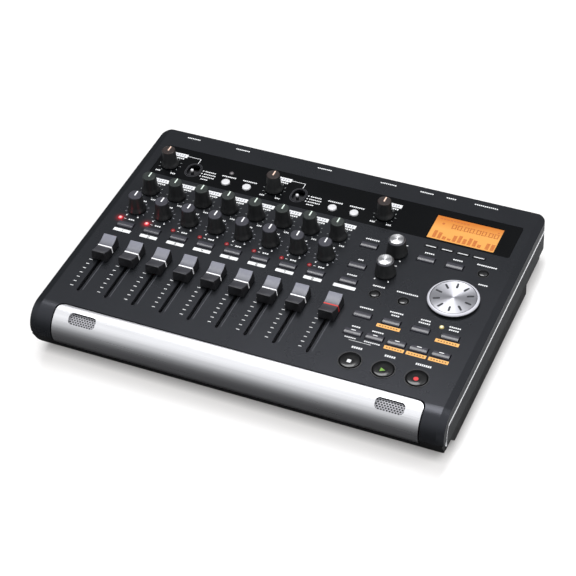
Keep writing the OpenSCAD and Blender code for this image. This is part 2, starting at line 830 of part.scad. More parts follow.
module rotary_pot() {
    difference() {
        union() {
            translate([-pot_w / 2, -pot_d / 2, 0]) cube([pot_w, pot_d, pot_h]);
            cylinder(d = bush_d, h = bush_z - board_z);
        }
        translate([0, 0, shaft_end_z - board_z - play])
            cylinder(d = shaft_d + 2 * shaft_play, h = board_drop);
    }
}

module rotary_pots() color([0.3, 0.3, 0.33]) {
    at(shaft_points, board_z) rotary_pot();
}

module slide_pots() color([0.35, 0.35, 0.38]) {
    for (x = fader_xs) translate([x, slot_mid_y, board_z]) difference() {
        translate([-slide_pot_w / 2, -slot_l / 2 - slide_pot_end, 0])
            cube([slide_pot_w, slot_l + 2 * slide_pot_end, slide_pot_h]);
        translate([0, 0, lever_end_z - board_z - play])
            linear_extrude(slide_pot_h) slot_plate(slot_w, slot_l);
    }
}

module push_switch() {
    translate([-switch_w / 2, -switch_w / 2, 0]) cube([switch_w, switch_w, switch_h]);
    cylinder(d = plunger_d, h = switch_h + plunger_h);
}

module switches() color([0.15, 0.15, 0.16]) {
    at(concat(bar_key_points, soft_points, round_key_points), board_z) push_switch();
    at(selector_points, board_z) difference() {
        translate([-selector_w / 2, -selector_d / 2, 0]) cube([selector_w, selector_d, selector_body_h]);
        translate([0, 0, selector_body_h / 2])
            linear_extrude(selector_body_h)
            slot_plate(selector_nub_d + 2 * play, selector_nub_d + 2 * selector_travel + 2 * play);
    }
    power_body_l = 12;
    translate([power_mid_x - power_w / 2, socket_face_y - wall - power_travel - 2 * play - power_body_l,
        main_board_z])
        cube([power_w, power_body_l, socket_z + power_h / 2 - main_board_z]);
}

module led_lenses() color([0.8, 0.1, 0.1]) {
    at(lamp_points, board_z) {
        cylinder(d = lamp_d, h = board_drop - lamp_d / 4);
        translate([0, 0, board_drop - lamp_d / 4]) sphere(d = lamp_d);
    }
}

module input_jacks() color([0.12, 0.12, 0.13]) {
    pin_circle_r = 6.6;
    pin_d = 2.6;
    pin_depth = 12;
    for (p = input_points) translate([p.x, socket_face_y, p.y]) rotate([-90, 0, 0]) difference() {
        union() {
            translate([-input_w / 2, -input_w / 2, -socket_depth]) cube([input_w, input_w, socket_depth]);
            cylinder(d = input_d, h = wall + seam);
        }
        translate([0, 0, wall + seam - jack_l]) cylinder(r = jack_r, h = jack_l + eps);
        for (a = [30, 150, 270]) rotate([0, 0, a]) translate([pin_circle_r, 0, wall + seam - pin_depth])
            cylinder(d = pin_d, h = pin_depth + eps);
    }
}

module rear_jacks() color([0.16, 0.16, 0.17]) {
    for (p = jack_points) translate([p.x, socket_face_y, p.y]) rotate([-90, 0, 0]) difference() {
        union() {
            translate([-jack_body_w / 2, -jack_bush_d / 2, -socket_depth])
                cube([jack_body_w, jack_bush_d / 2 + socket_z - main_board_z, socket_depth]);
            cylinder(d = jack_bush_d, h = wall + seam);
        }
        translate([0, 0, wall + seam - jack_l]) cylinder(r = jack_r, h = jack_l + eps);
    }
    translate([inlet_point.x, socket_face_y, inlet_point.y]) rotate([-90, 0, 0]) {
        difference() {
            union() {
                translate([-inlet_body_w / 2, -inlet_d / 2, -inlet_depth - wall])
                    cube([inlet_body_w, inlet_d / 2 + socket_z - main_board_z, inlet_depth + wall]);
                cylinder(d = inlet_d, h = wall + seam);
            }
            translate([0, 0, wall + seam - inlet_depth]) cylinder(d = inlet_bore_d, h = inlet_depth + eps);
        }
        translate([0, 0, wall + seam - inlet_depth - eps]) cylinder(d = inlet_pin_d, h = inlet_depth);
    }
}

// Controls

module shaft() {
    translate([0, 0, shaft_end_z - panel_z])
        cylinder(d = shaft_d, h = panel_z - shaft_end_z + knob_lift + eps);
}

module knob(p) color([0.06, 0.06, 0.065]) {
    translate([p.x, p.y, panel_z]) {
        shaft();
        translate([0, 0, knob_lift]) {
            cylinder(d1 = knob_base_d, d2 = knob_waist_d, h = knob_flare_h);
            translate([0, 0, knob_flare_h])
                cylinder(d1 = knob_waist_d, d2 = knob_top_d, h = knob_h - knob_lift - knob_flare_h);
        }
    }
}

module encoder_knob(p) color([0.8, 0.8, 0.82]) {
    rim = 1;
    translate([p.x, p.y, panel_z]) {
        shaft();
        translate([0, 0, knob_lift])
            cylinder(d1 = encoder_base_d, d2 = encoder_top_d, h = encoder_h - knob_lift - rim);
        translate([0, 0, encoder_h - rim])
            cylinder(d1 = encoder_top_d, d2 = encoder_top_d - 2 * rim, h = rim);
    }
}

module data_wheel() color([0.82, 0.82, 0.84]) {
    rim = 0.8;
    slot_depth = 0.5;
    finger_slot_w = 1.5;
    finger_slot_l = 4.9;
    finger_slot_r = wheel_d * 0.32;
    first_slot_turn = 23.5;
    translate([wheel_point.x, wheel_point.y, panel_z]) {
        shaft();
        difference() {
            translate([0, 0, knob_lift]) {
                cylinder(d = wheel_d, h = wheel_h - knob_lift - rim);
                translate([0, 0, wheel_h - knob_lift - rim])
                    cylinder(d1 = wheel_d, d2 = wheel_d - 2 * rim, h = rim);
            }
            for (i = [0:wheel_slots - 1]) rotate([0, 0, first_slot_turn - 90 + 360 * i / wheel_slots])
                translate([0, finger_slot_r, wheel_h - slot_depth])
                linear_extrude(eps) slot_plate(finger_slot_w, finger_slot_l);
        }
    }
}

module fader(x) color([0.1, 0.1, 0.11]) {
    land = 0.8;
    cap_lift = knob_lift;
    saddle_r = (pow(cap_l / 2 - land, 2) + pow(saddle, 2)) / (2 * saddle);
    translate([x, fader_y, panel_z]) {
        difference() {
            rotate([90, 0, 0]) linear_extrude(cap_l, center = true)
                polygon([[-cap_w / 2, cap_lift], [cap_w / 2, cap_lift],
                    [cap_top_w / 2, cap_h], [-cap_top_w / 2, cap_h]]);
            translate([0, 0, cap_h - saddle + saddle_r]) rotate([0, 90, 0])
                cylinder(r = saddle_r, h = 2 * cap_w, center = true);
        }
        translate([-lever_t / 2, -lever_l / 2, lever_end_z - panel_z])
            cube([lever_t, lever_l, panel_z - lever_end_z + cap_lift + eps]);
    }
}

// A key: its cap shows above the panel, its flange stops under it, its stem meets a switch

module key_stem() {
    translate([0, 0, key_stem_end_z - panel_z])
        cylinder(d = key_stem_d, h = under_z - play - key_flange_t / 2 - key_stem_end_z);
}

module bar_key(w, d, h) {
    flange_z = -wall - play - key_flange_t;
    corner = 0.6;
    key_stem();
    translate([0, 0, flange_z]) {
        linear_extrude(key_flange_t) square([w, d + 2 * key_flange], center = true);
        linear_extrude(h - flange_z) rounded_plate(w, d, corner);
    }
}

module round_key(d, h) {
    flange_z = -wall - play - key_flange_t;
    key_stem();
    translate([0, 0, flange_z]) {
        cylinder(d = d + 2 * key_flange, h = key_flange_t);
        cylinder(d = d, h = h - flange_z);
    }
}

module arm_keys() color([0.2, 0.2, 0.21]) at(arm_points, panel_z) bar_key(key_w, key_d, key_h);

module soft_keys() color([0.3, 0.3, 0.32]) at(soft_points, panel_z) bar_key(soft_w, soft_d, soft_h);

module effect_keys() color([0.2, 0.2, 0.21]) at(effect_points, panel_z) bar_key(key_w, key_d, key_h);

module locate_keys() color([0.2, 0.2, 0.21]) at(locate_points, panel_z) bar_key(key_w, key_d, key_h);

module menu_keys() color([0.2, 0.2, 0.21]) {
    at(menu_points, panel_z) bar_key(key_w, key_d, key_h);
    at(round_points, panel_z) round_key(round_d, round_h);
}

module input_buttons() color([0.9, 0.9, 0.9]) at(white_points, panel_z) round_key(white_d, round_h);

module transport_button(i) color([0.02, 0.02, 0.02]) {
    translate([transport_points[i].x, transport_points[i].y, panel_z]) round_key(transport_d, transport_h);
}

module input_selector(p) color([0.6, 0.6, 0.62]) {
    nub_rise = 2.6;
    plate_z = board_z + selector_body_h + play;
    // It rests at the front end of its travel
    translate([p.x, p.y - selector_travel, 0]) {
        translate([0, 0, board_z + selector_body_h / 2 + play])
            cylinder(d = selector_nub_d, h = panel_z + nub_rise - board_z - selector_body_h / 2 - play);
        translate([0, 0, plate_z]) linear_extrude(under_z - play - plate_z)
            square([selector_w, selector_d - 2 * selector_travel], center = true);
    }
}

module power_button() color([0.06, 0.06, 0.065]) {
    flange = 1;
    translate([power_mid_x, rear_y, socket_z]) {
        translate([-power_w / 2, -wall - 2 * play - flange, -power_h / 2])
            cube([power_w, wall + 2 * play + flange, power_h]);
        translate([-power_w / 2 - flange - play, -wall - play - flange, -power_h / 2 - flange - play])
            cube([power_w + 2 * flange + 2 * play, flange, power_h + 2 * flange + 2 * play]);
    }
}

top_cover();
bottom_cover();
front_bar();
side_panels();
side_trims();
display_panel();
display_module();
microphones();
circuit_boards();
slide_pots();
rotary_pots();
switches();
led_lenses();
input_jacks();
rear_jacks();
case_screws();
rubber_feet();
for (i = channels) {
    fader(channel_x(i));
    knob(send_points[i]);
    knob(pan_points[i]);
}
fader(master_x);  // fader_master
knob(gain_points[0]);  // gain_knob_a
knob(gain_points[1]);  // gain_knob_b
knob(phones_point);  // phones_knob
encoder_knob(encoder_points[0]);  // upper_encoder_knob
encoder_knob(encoder_points[1]);  // lower_encoder_knob
data_wheel();
input_selector(selector_points[0]);  // input_selector_a
input_selector(selector_points[1]);  // input_selector_b
power_button();
transport_button(0);  // stop_button
transport_button(1);  // play_button
transport_button(2);  // record_button
arm_keys();
soft_keys();
menu_keys();
effect_keys();
locate_keys();
input_buttons();
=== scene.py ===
"""Looks of a desktop digital multitrack recorder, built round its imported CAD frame.

Sizes are in millimetres unless a name says otherwise. X runs to the right, Y to the rear, Z up.
"""

import math

import bmesh
import bpy
from mathutils import Matrix, Vector


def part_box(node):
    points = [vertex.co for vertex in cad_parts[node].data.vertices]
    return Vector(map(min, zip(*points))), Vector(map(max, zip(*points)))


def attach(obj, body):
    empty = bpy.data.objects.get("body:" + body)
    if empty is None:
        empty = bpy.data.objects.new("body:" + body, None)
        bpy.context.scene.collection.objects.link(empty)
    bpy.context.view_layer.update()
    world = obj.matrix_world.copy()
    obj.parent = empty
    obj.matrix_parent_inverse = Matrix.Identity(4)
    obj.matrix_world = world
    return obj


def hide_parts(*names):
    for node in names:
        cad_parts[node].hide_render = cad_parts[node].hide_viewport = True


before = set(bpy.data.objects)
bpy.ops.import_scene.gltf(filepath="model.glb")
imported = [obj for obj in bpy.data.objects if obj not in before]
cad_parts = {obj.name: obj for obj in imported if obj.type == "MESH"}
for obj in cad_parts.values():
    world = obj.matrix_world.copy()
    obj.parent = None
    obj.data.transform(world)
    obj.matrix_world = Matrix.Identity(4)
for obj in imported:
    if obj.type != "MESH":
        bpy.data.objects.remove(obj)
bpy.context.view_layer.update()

MM = 0.001

# Places, read from the frame


def box(node):
    """Lowest and highest corner of a CAD node in millimetres."""
    return [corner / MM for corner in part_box(node)]


def middle(node):
    """Middle of a CAD node seen from above."""
    low, high = box(node)
    return (low.x + high.x) / 2, (low.y + high.y) / 2


PANEL = box("top_cover")[1].z
REAR = box("top_cover")[1].y
FRONT = box("front_bar")[0].y
HALF_W = box("top_cover")[1].x
CHANNELS = range(1, 9)
CHANNEL_X = [middle(f"send_knob_{i}")[0] for i in CHANNELS]
SEND_Y = middle("send_knob_1")[1]
PAN_Y = middle("pan_knob_1")[1]
FADER_Y = middle("fader_1")[1]
MASTER_X = middle("fader_master")[0]
ARM_Y = middle("arm_keys")[1]
GAIN_AT = [middle("gain_knob_a"), middle("gain_knob_b")]
PHONES_AT = middle("phones_knob")
ENCODER_NODES = ("upper_encoder_knob", "lower_encoder_knob")
ENCODER_AT = [middle(node) for node in ENCODER_NODES]
WHEEL_AT = middle("data_wheel")
TRANSPORT_AT = [middle(f"{name}_button") for name in ("stop", "play", "record")]
SCREEN_X, SCREEN_Y = middle("display_module")

# The selectors rest this far in front of the middle of their slots
SELECTOR_REST = 2
SELECTOR_NODES = ("input_selector_a", "input_selector_b")
SELECTOR_AT = [(x, y + SELECTOR_REST) for x, y in map(middle, SELECTOR_NODES)]

# Places inside the nodes that hold several pieces


def row(d):
    """Y of a row at distance d from the rear edge."""
    return REAR - d


COLUMN_PITCH = 20
COLUMN_SHIFT = 0.8
COLUMN_X = [ENCODER_AT[0][0] + COLUMN_SHIFT + COLUMN_PITCH * i for i in range(4)]
WIND_PITCH = 15
WIND_X = [COLUMN_X[0] + WIND_PITCH * i for i in range(5)]
WHITE_Y = row(41.8)
LAMP_Y = row(101.1)
ROUND_Y = row(112.5)
NUMBER_Y = row(112.9)
LOCATE_Y = row(134)
WIND_Y = row(150.8)
MENU_Y = ENCODER_AT[0][1]
EFFECT_Y = (MENU_Y, ENCODER_AT[1][1], ARM_Y)
SOFT_GAP = 20.4
SOFT_PITCH = 11.3
SOFT_AT = [(SCREEN_X + (i - 1.5) * SOFT_PITCH, SCREEN_Y - SOFT_GAP) for i in range(4)]
WHITE_GAPS = (45.8, 62)
WHITE_AT = [(x + gap, WHITE_Y) for x, _ in GAIN_AT for gap in WHITE_GAPS]
ROUND_AT = [(COLUMN_X[3], MENU_Y), (COLUMN_X[0], ROUND_Y), (COLUMN_X[1], ROUND_Y)]
WIND_AT = [(x, WIND_Y) for x in WIND_X]

LAMP_GAP = 7.2
LIT_LAMPS = 2
ARM_LAMPS = [(x - LAMP_GAP, LAMP_Y) for x in CHANNEL_X]
UNDO_LAMP_GAP = (8.4, 7.4)
UNDO_LAMP_AT = (COLUMN_X[3] - UNDO_LAMP_GAP[0], LOCATE_Y + UNDO_LAMP_GAP[1])
INPUT_LAMP_GAP = 10.3
INPUT_LAMP_AT = (WHITE_AT[0][0], WHITE_Y + INPUT_LAMP_GAP)

# The rounded front edge, as the circle that it follows
NOSE_R = 15.5
NOSE_Y = FRONT + NOSE_R
NOSE_Z = PANEL - NOSE_R

# Shader tools

BLACK = [0, 0, 0, 1]


def srgb(red, green, blue):
    """A colour given as it looks on screen, from 0 to 255, as a linear colour."""
    parts = [c / 255 for c in (red, green, blue)]
    return [c / 12.92 if c <= 0.04045 else ((c + 0.055) / 1.055) ** 2.4 for c in parts] + [1]


def grey(level):
    return srgb(level, level, level)


def shade(colour, factor):
    """A colour made darker or paler."""
    return [c * factor for c in colour[:3]] + [1]


class Value:
    """A shader value. Arithmetic on it adds Math nodes to its material."""

    def __init__(self, paint, socket):
        self.paint, self.socket = paint, socket

    def math(self, operation, *others):
        return self.paint.math(operation, self, *others)

    def __add__(self, other):
        return self.math("ADD", other)

    def __radd__(self, other):
        return self.paint.math("ADD", other, self)

    def __sub__(self, other):
        return self.math("SUBTRACT", other)

    def __rsub__(self, other):
        return self.paint.math("SUBTRACT", other, self)

    def __mul__(self, other):
        return self.math("MULTIPLY", other)

    def __rmul__(self, other):
        return self.paint.math("MULTIPLY", other, self)

    def __truediv__(self, other):
        return self.math("DIVIDE", other)

    def __rtruediv__(self, other):
        return self.paint.math("DIVIDE", other, self)

    def __lt__(self, other):
        return self.math("LESS_THAN", other)

    def __gt__(self, other):
        return self.math("GREATER_THAN", other)

    def band(self, low, high):
        """0 up to low, then rising to 1 at high."""
        return ((self - low) / (high - low)).math("MINIMUM", 1).math("MAXIMUM", 0)


# Numbers of the Mix node's sockets for colours
MIX_FACTOR, MIX_A, MIX_B, MIX_RESULT = 0, 6, 7, 2


class Paint:
    """One procedural material."""

    def __init__(self, name, **constants):
        self.material = bpy.data.materials.new(name)
        self.material.use_nodes = True
        self.tree = self.material.node_tree
        self.shader = self.tree.nodes["Principled BSDF"]
        for key, value in constants.items():
            self.shader.inputs[key.replace("_", " ")].default_value = value

    def add(self, kind, inputs=(), output=0, **settings):
        """Adds a node. Its inputs are pairs of a socket's name or number, and a Value or a
        constant."""
        node = self.tree.nodes.new(kind)
        for key, value in settings.items():
            setattr(node, key, value)
        for key, value in inputs:
            self.link(node.inputs[key], value)
        return Value(self, node.outputs[output])

    def link(self, socket, value):
        if isinstance(value, Value):
            self.tree.links.new(value.socket, socket)
        else:
            socket.default_value = value

    def set(self, name, value):
        self.link(self.shader.inputs[name], value)

    def math(self, operation, *terms):
        return self.add("ShaderNodeMath", enumerate(terms), operation=operation)

    def place(self):
        """The point on the piece, in metres, which moves with the piece."""
        return self.add("ShaderNodeTexCoord", output="Object")

    def split(self, vector):
        """The three coordinates of a vector."""
        return [self.add("ShaderNodeSeparateXYZ", [(0, vector)], output=i) for i in range(3)]

    def axes(self):
        """The three coordinates of the point on the piece, in millimetres."""
        return [part * (1 / MM) for part in self.split(self.place())]

    def noise(self, blotch, detail=3.0):
        """Noise from 0 to 1, whose blotches are about so many millimetres wide."""
        inputs = [("Vector", self.place()), ("Scale", 1 / (blotch * MM)), ("Detail", detail)]
        return self.add("ShaderNodeTexNoise", inputs)

    def mix(self, factor, a, b):
        """The colour a where factor is 0, and b where it is 1."""
        inputs = [(MIX_FACTOR, factor), (MIX_A, a), (MIX_B, b)]
        return self.add("ShaderNodeMix", inputs, output=MIX_RESULT, data_type="RGBA")

    def rough(self, cloud, level, spread):
        """Roughness round level, spread by a cloud of noise."""
        self.set("Roughness", cloud * spread + (level - spread / 2))

    def bump(self, height, strength, depth):
        inputs = [("Height", height), ("Strength", strength), ("Distance", depth * MM)]
        self.set("Normal", self.add("ShaderNodeBump", inputs))

    def light_path(self, ray):
        return self.add("ShaderNodeLightPath", output=ray)


def length(dx, dy):
    """Length of a step across the panel."""
    return (dx * dx + dy * dy).math("SQRT")


def nose_lean(y, z):
    """How far a point on the front edge leans forward from the top, in radians."""
    return (NOSE_Y - y).math("ARCTAN2", z - NOSE_Z)


def plastic(name, colour, rough=0.5, mottle=0.12, relief=0.05, **constants):
    """Moulded or painted material with slight mottling and a fine grain."""
    paint = Paint(name, **constants)
    cloud = paint.noise(blotch=9)
    dark, pale = shade(colour, 1 - mottle), shade(colour, 1 + mottle)
    paint.set("Base Color", paint.mix(cloud, dark, pale))
    paint.rough(cloud, rough, spread=0.12)
    paint.bump(paint.noise(blotch=0.5, detail=1.0), strength=relief, depth=0.05)
    return paint.material


def spun_metal(name, colour, at, rough):
    """Metal turned about the vertical axis through at."""
    paint = Paint(name, Metallic=1.0, Anisotropic=0.8, Anisotropic_Rotation=0.25)
    x, y, _ = paint.axes()
    inputs = [("W", length(x - at[0], y - at[1])), ("Scale", 5.0)]
    turned = paint.add("ShaderNodeTexNoise", inputs, noise_dimensions="1D")
    paint.set("Base Color", paint.mix(turned, shade(colour, 0.86), shade(colour, 1.06)))
    paint.rough(turned, rough, spread=0.14)
    paint.bump(turned, strength=0.08, depth=0.03)
    return paint.material


def glow(name, colour, strength, rough=0.3):
    """A lamp or a lit surface, a little uneven. On the unlit arm lamps this glow is painted light.
    """
    paint = Paint(name, Emission_Strength=strength, Roughness=rough)
    cloud = paint.noise(blotch=2.5)
    tone = paint.mix(cloud, shade(colour, 0.85), shade(colour, 1.1))
    paint.set("Base Color", tone)
    paint.set("Emission Color", tone)
    return paint.material


# Mesh tools


def rect(x, y, w, d):
    corners = ((-1, -1), (1, -1), (1, 1), (-1, 1))
    return [(x + sx * w / 2, y + sy * d / 2) for sx, sy in corners]


def rounded(x, y, w, d, r, steps=3):
    """Outline of a rectangle with round corners."""
    points = []
    for k, (sx, sy) in enumerate(((1, -1), (1, 1), (-1, 1), (-1, -1))):
        corner_x, corner_y = x + sx * (w / 2 - r), y + sy * (d / 2 - r)
        for i in range(steps + 1):
            a = math.radians(90 * (k - 1 + i / steps))
            points.append((corner_x + r * math.cos(a), corner_y + r * math.sin(a)))
    return points


def circle(x, y, r, steps=32):
    turn = [2 * math.pi * i / steps for i in range(steps)]
    return [(x + r * math.cos(a), y + r * math.sin(a)) for a in turn]


def at_height(outline, z):
    return [(x, y, z) for x, y in outline]


class Piece:
    """Gathers the solids of one piece, in millimetres, and makes an object of them."""

    def __init__(self):
        self.bm = bmesh.new()

    def skin(self, loops, mats=0, caps=(0, 0), closed=False):
        """Joins loops of points, one after the other. mats gives each band's material, or a
        material for each side of the band."""
        rings = [[self.bm.verts.new(Vector(p) * MM) for p in loop] for loop in loops]
        following = rings[1:] + (rings[:1] if closed else [])
        for k, (a, b) in enumerate(zip(rings, following)):
            mat = mats if isinstance(mats, int) else mats[k]
            for i in range(len(a)):
                j = (i + 1) % len(a)
                face = self.bm.faces.new((a[i], a[j], b[j], b[i]))
                face.material_index = mat if isinstance(mat, int) else mat[i]
        if not closed:
            for ring, mat in ((rings[0][::-1], caps[0]), (rings[-1], caps[1])):
                self.bm.faces.new(ring).material_index = mat

    def prism(self, outline, low, high, mat=0):
        self.skin([at_height(outline, low), at_height(outline, high)], mat, (mat, mat))

    def lathe(self, at, profile, steps=48):
        """A turned solid about the vertical axis through at. profile lists (radius, height above
        the panel, material of the band above), from the bottom to the top."""
        loops = [at_height(circle(*at, r, steps), PANEL + z) for r, z, _ in profile]
        mats = [mat for _, _, mat in profile]
        self.skin(loops, mats, (mats[0], mats[-1]))

    def ring(self, outer, inner, low, high):
        """A flat ring between two outlines with as many points."""
        sides = ((outer, low), (outer, high), (inner, high), (inner, low))
        self.skin([at_height(outline, z) for outline, z in sides], closed=True)

    def place(self, name, body, materials, slot, stands_for=(), bevel=0.0, sharp=35):
        """Makes the object. Its edges over sharp degrees stay crisp, or are rounded by bevel."""
        bmesh.ops.recalc_face_normals(self.bm, faces=self.bm.faces)
        mesh = bpy.data.meshes.new(name)
        self.bm.to_mesh(mesh)
        self.bm.free()
        for material in materials:
            mesh.materials.append(material)
        mesh.shade_smooth()
        mesh.set_sharp_from_angle(angle=math.radians(sharp))
        obj = bpy.data.objects.new(name, mesh)
        bpy.context.scene.collection.objects.link(obj)
        if bevel:
            edges = obj.modifiers.new("soft edges", "BEVEL")
            edges.width = bevel * MM
            edges.segments = 2
            edges.limit_method = "ANGLE"
            edges.angle_limit = math.radians(40)
        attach(obj, body)
        if stands_for:
            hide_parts(*stands_for)


# Materials

base_plastic = plastic("base_plastic", srgb(13, 13, 14), rough=0.55)
side_plastic = plastic("side_plastic", srgb(35, 37, 39))
knob_black = plastic("knob_black", srgb(26, 27, 28), rough=0.4)
rubber = plastic("foot_rubber", srgb(16, 16, 16), rough=0.75)
key_plastic = plastic("key_plastic", srgb(50, 50, 57), rough=0.2)
key_dark = plastic("key_dark", srgb(26, 26, 29), rough=0.4)
gloss_black = plastic("gloss_black", srgb(10, 10, 11), rough=0.14, relief=0.0, Coat_Weight=0.5)
transport_black = plastic("transport_black", srgb(8, 8, 9), rough=0.13, relief=0.0)
white_plastic = plastic("white_plastic", srgb(200, 200, 202), rough=0.35)
print_white = plastic("print_white", srgb(216, 217, 218), rough=0.6, mottle=0.06)
print_orange = plastic("print_orange", srgb(222, 166, 92), rough=0.6, mottle=0.06)
screen_ink = glow("screen_ink", srgb(160, 86, 30), 0.45, rough=0.4)
print_brown = plastic("print_brown", srgb(128, 88, 44), rough=0.6)
print_dark = plastic("print_dark", srgb(26, 26, 28), rough=0.6)
print_grey = plastic("print_grey", srgb(150, 151, 158), rough=0.6)
print_dim = plastic("print_dim", srgb(136, 140, 140), rough=0.6)
print_green = plastic("print_green", srgb(104, 150, 50))
print_red = plastic("print_red", srgb(200, 40, 44))
ring_grey = plastic("ring_grey", srgb(42, 42, 46), rough=0.3)
send_top = plastic("send_top", srgb(31, 37, 35), rough=0.35)
gain_top = plastic("gain_top", srgb(38, 29, 27), rough=0.35)
pan_top = plastic("pan_top", srgb(49, 49, 57), rough=0.35)
line_pale = plastic("line_pale", srgb(206, 218, 208))
line_orange = plastic("line_orange", srgb(226, 194, 176))
line_white = plastic("line_white", srgb(238, 238, 240))
line_red = plastic("line_red", srgb(196, 44, 38), rough=0.45)
board_green = plastic("board_green", srgb(28, 84, 48), rough=0.45)
pot_metal = plastic("pot_metal", srgb(140, 140, 144), rough=0.4, Metallic=0.8)
switch_black = plastic("switch_black", srgb(30, 30, 32))
socket_black = plastic("socket_black", srgb(24, 24, 26), rough=0.4)
screw_steel = plastic("screw_steel", srgb(120, 120, 124), rough=0.35, Metallic=1.0)
trim_silver = plastic("trim_silver", srgb(246, 246, 248), rough=0.25, mottle=0.02)
rim_silver = plastic("rim_silver", srgb(188, 188, 195), rough=0.25, mottle=0.04)
collar_grey = plastic("collar_grey", srgb(84, 84, 90), rough=0.35)
cap_dark = plastic("cap_dark", srgb(26, 26, 28), rough=0.35)
# Painted light: the front half of a cap's top is a paler copy of the dark cap plastic.
cap_lit_front_top = plastic("cap_lit_front_top", srgb(54, 54, 58), rough=0.35)
# Painted highlight: a pale line beside each fader slot, standing for light along a moulded rim.
slot_rim_highlight = plastic("slot_rim_highlight", srgb(64, 65, 72))
# Painted shade: dark marks on the wheel's top stand for the hollows of its finger slots.
wheel_slot_shade = plastic("wheel_slot_shade", srgb(40, 41, 46), rough=0.35)
module_black = plastic("module_black", srgb(20, 18, 16), rough=0.4)
# Painted light: the unlit arm lamps glow faintly so that their red shows.
lamp_red = glow("lamp_red", srgb(124, 22, 28), 0.25)
lamp_clear = glow("lamp_clear", srgb(96, 92, 94), 0.1)

SPILL_STRENGTH = 0.9
SPILL_FALL = 0.16


def case_finish():
    """Charcoal plastic of the top, with the red light of the lit lamps painted on it as a glow."""
    paint = Paint("case_plastic", Specular_IOR_Level=0.42, Specular_Tint=(0.86, 0.88, 1, 1),
                  Emission_Strength=1.0)
    cloud = paint.noise(blotch=30)
    paint.set("Base Color", paint.mix(cloud, srgb(20, 22, 24), srgb(24, 25, 27)))
    paint.rough(cloud, level=0.28, spread=0.06)
    paint.bump(paint.noise(blotch=0.5, detail=1.0), strength=0.04, depth=0.05)
    x, y, _ = paint.axes()
    # Painted light: a red glow round each lit lamp, given to the case's own emission.
    away = [length(x - lamp_x, y - lamp_y) for lamp_x, lamp_y in ARM_LAMPS[:LIT_LAMPS]]
    spill = sum((far * far * -SPILL_FALL).math("EXPONENT") for far in away) * SPILL_STRENGTH
    paint.set("Emission Color", paint.mix(spill, BLACK, srgb(176, 16, 26)))
    return paint.material


def lit_lamp_finish(name, places, core, edge, spill):
    """A lit lamp: pale in the middle, deeper round it. Its light on other pieces has the colour
    spill."""
    paint = Paint(name, Emission_Strength=1.0, Roughness=0.3)
    x, y, _ = paint.axes()
    nearest, *others = [length(x - lamp_x, y - lamp_y) for lamp_x, lamp_y in places]
    for far in others:
        nearest = nearest.math("MINIMUM", far)
    tone = paint.mix(nearest.band(0.2, 1.5), core, edge)
    paint.set("Base Color", paint.mix(0.6, tone, BLACK))
    paint.set("Emission Color", paint.mix(paint.light_path("Is Camera Ray"), spill, tone))
    return paint.material


def selector_finish():
    """Slide selector: a pin on a dark plate, turning white towards its top as a painted highlight
    on its head.
    """
    paint = Paint("selector_white_highlight")
    _, _, z = paint.axes()
    cloud = paint.noise(blotch=3)
    white = paint.mix(cloud, srgb(196, 196, 198), srgb(224, 224, 226))
    # Painted highlight: the pin turns from dark to white towards its top.
    paint.set("Base Color", paint.mix((z - PANEL).band(0.4, 2.2), srgb(34, 34, 37), white))
    paint.rough(cloud, level=0.3, spread=0.1)
    return paint.material


BRUSH_SCALE = (20, 2600, 2600)


def bar_finish():
    """Satin silver of the front bar, brushed along its length, with painted shade along its top
    that holds down the highlight there.
    """
    paint = Paint("bar_silver", Metallic=1.0)
    inputs = [("Vector", paint.place()), ("Scale", BRUSH_SCALE)]
    stretched = paint.add("ShaderNodeMapping", inputs)
    inputs = [("Vector", stretched), ("Scale", 1.0), ("Detail", 2.0)]
    brushed = paint.add("ShaderNodeTexNoise", inputs)
    _, y, z = paint.axes()
    silver = paint.mix(brushed, srgb(212, 212, 214), srgb(232, 232, 233))
    # Painted shade: the silver turns darker towards the top of the bar.
    out_of_top_shade = nose_lean(y, z).band(0.0, 0.6)
    paint.set("Base Color", paint.mix(out_of_top_shade, srgb(150, 150, 153), silver))
    paint.rough(brushed, level=0.29, spread=0.08)
    paint.bump(brushed, strength=0.05, depth=0.03)
    return paint.material


def strip_finish():
    """Glossy black sheet of the display strip, with faint smears in its shine."""
    paint = Paint("strip_black", Specular_IOR_Level=0.12)
    cloud = paint.noise(blotch=40)
    paint.set("Base Color", paint.mix(cloud, srgb(5, 6, 7), srgb(10, 11, 13)))
    paint.rough(cloud, level=0.25, spread=0.1)
    return paint.material


def screen_finish():
    """Amber back light, deeper towards the rear edge, where the frame shades it: painted shade."""
    paint = Paint("screen_amber", Emission_Strength=0.67, Roughness=0.3, Specular_IOR_Level=0.1)
    x, y, _ = paint.axes()
    # Painted shade: the amber deepens towards the rear edge.
    slant = (x - SCREEN_X) * 0.04
    deep = (y - SCREEN_Y - slant + paint.noise(blotch=14) * 3).band(2, 13)
    tone = paint.mix(deep, srgb(221, 157, 84), srgb(192, 112, 47))
    paint.set("Base Color", paint.mix(0.5, tone, BLACK))
    paint.set("Emission Color", tone)
    return paint.material


# Staggered holes of the grilles. HOLE_R and HOLE_ROW are shares of the pitch
HOLE_PITCH = 1.95
HOLE_R = 0.36
HOLE_ROW = math.sqrt(0.75)
GRILLE_METALLIC = 0.4


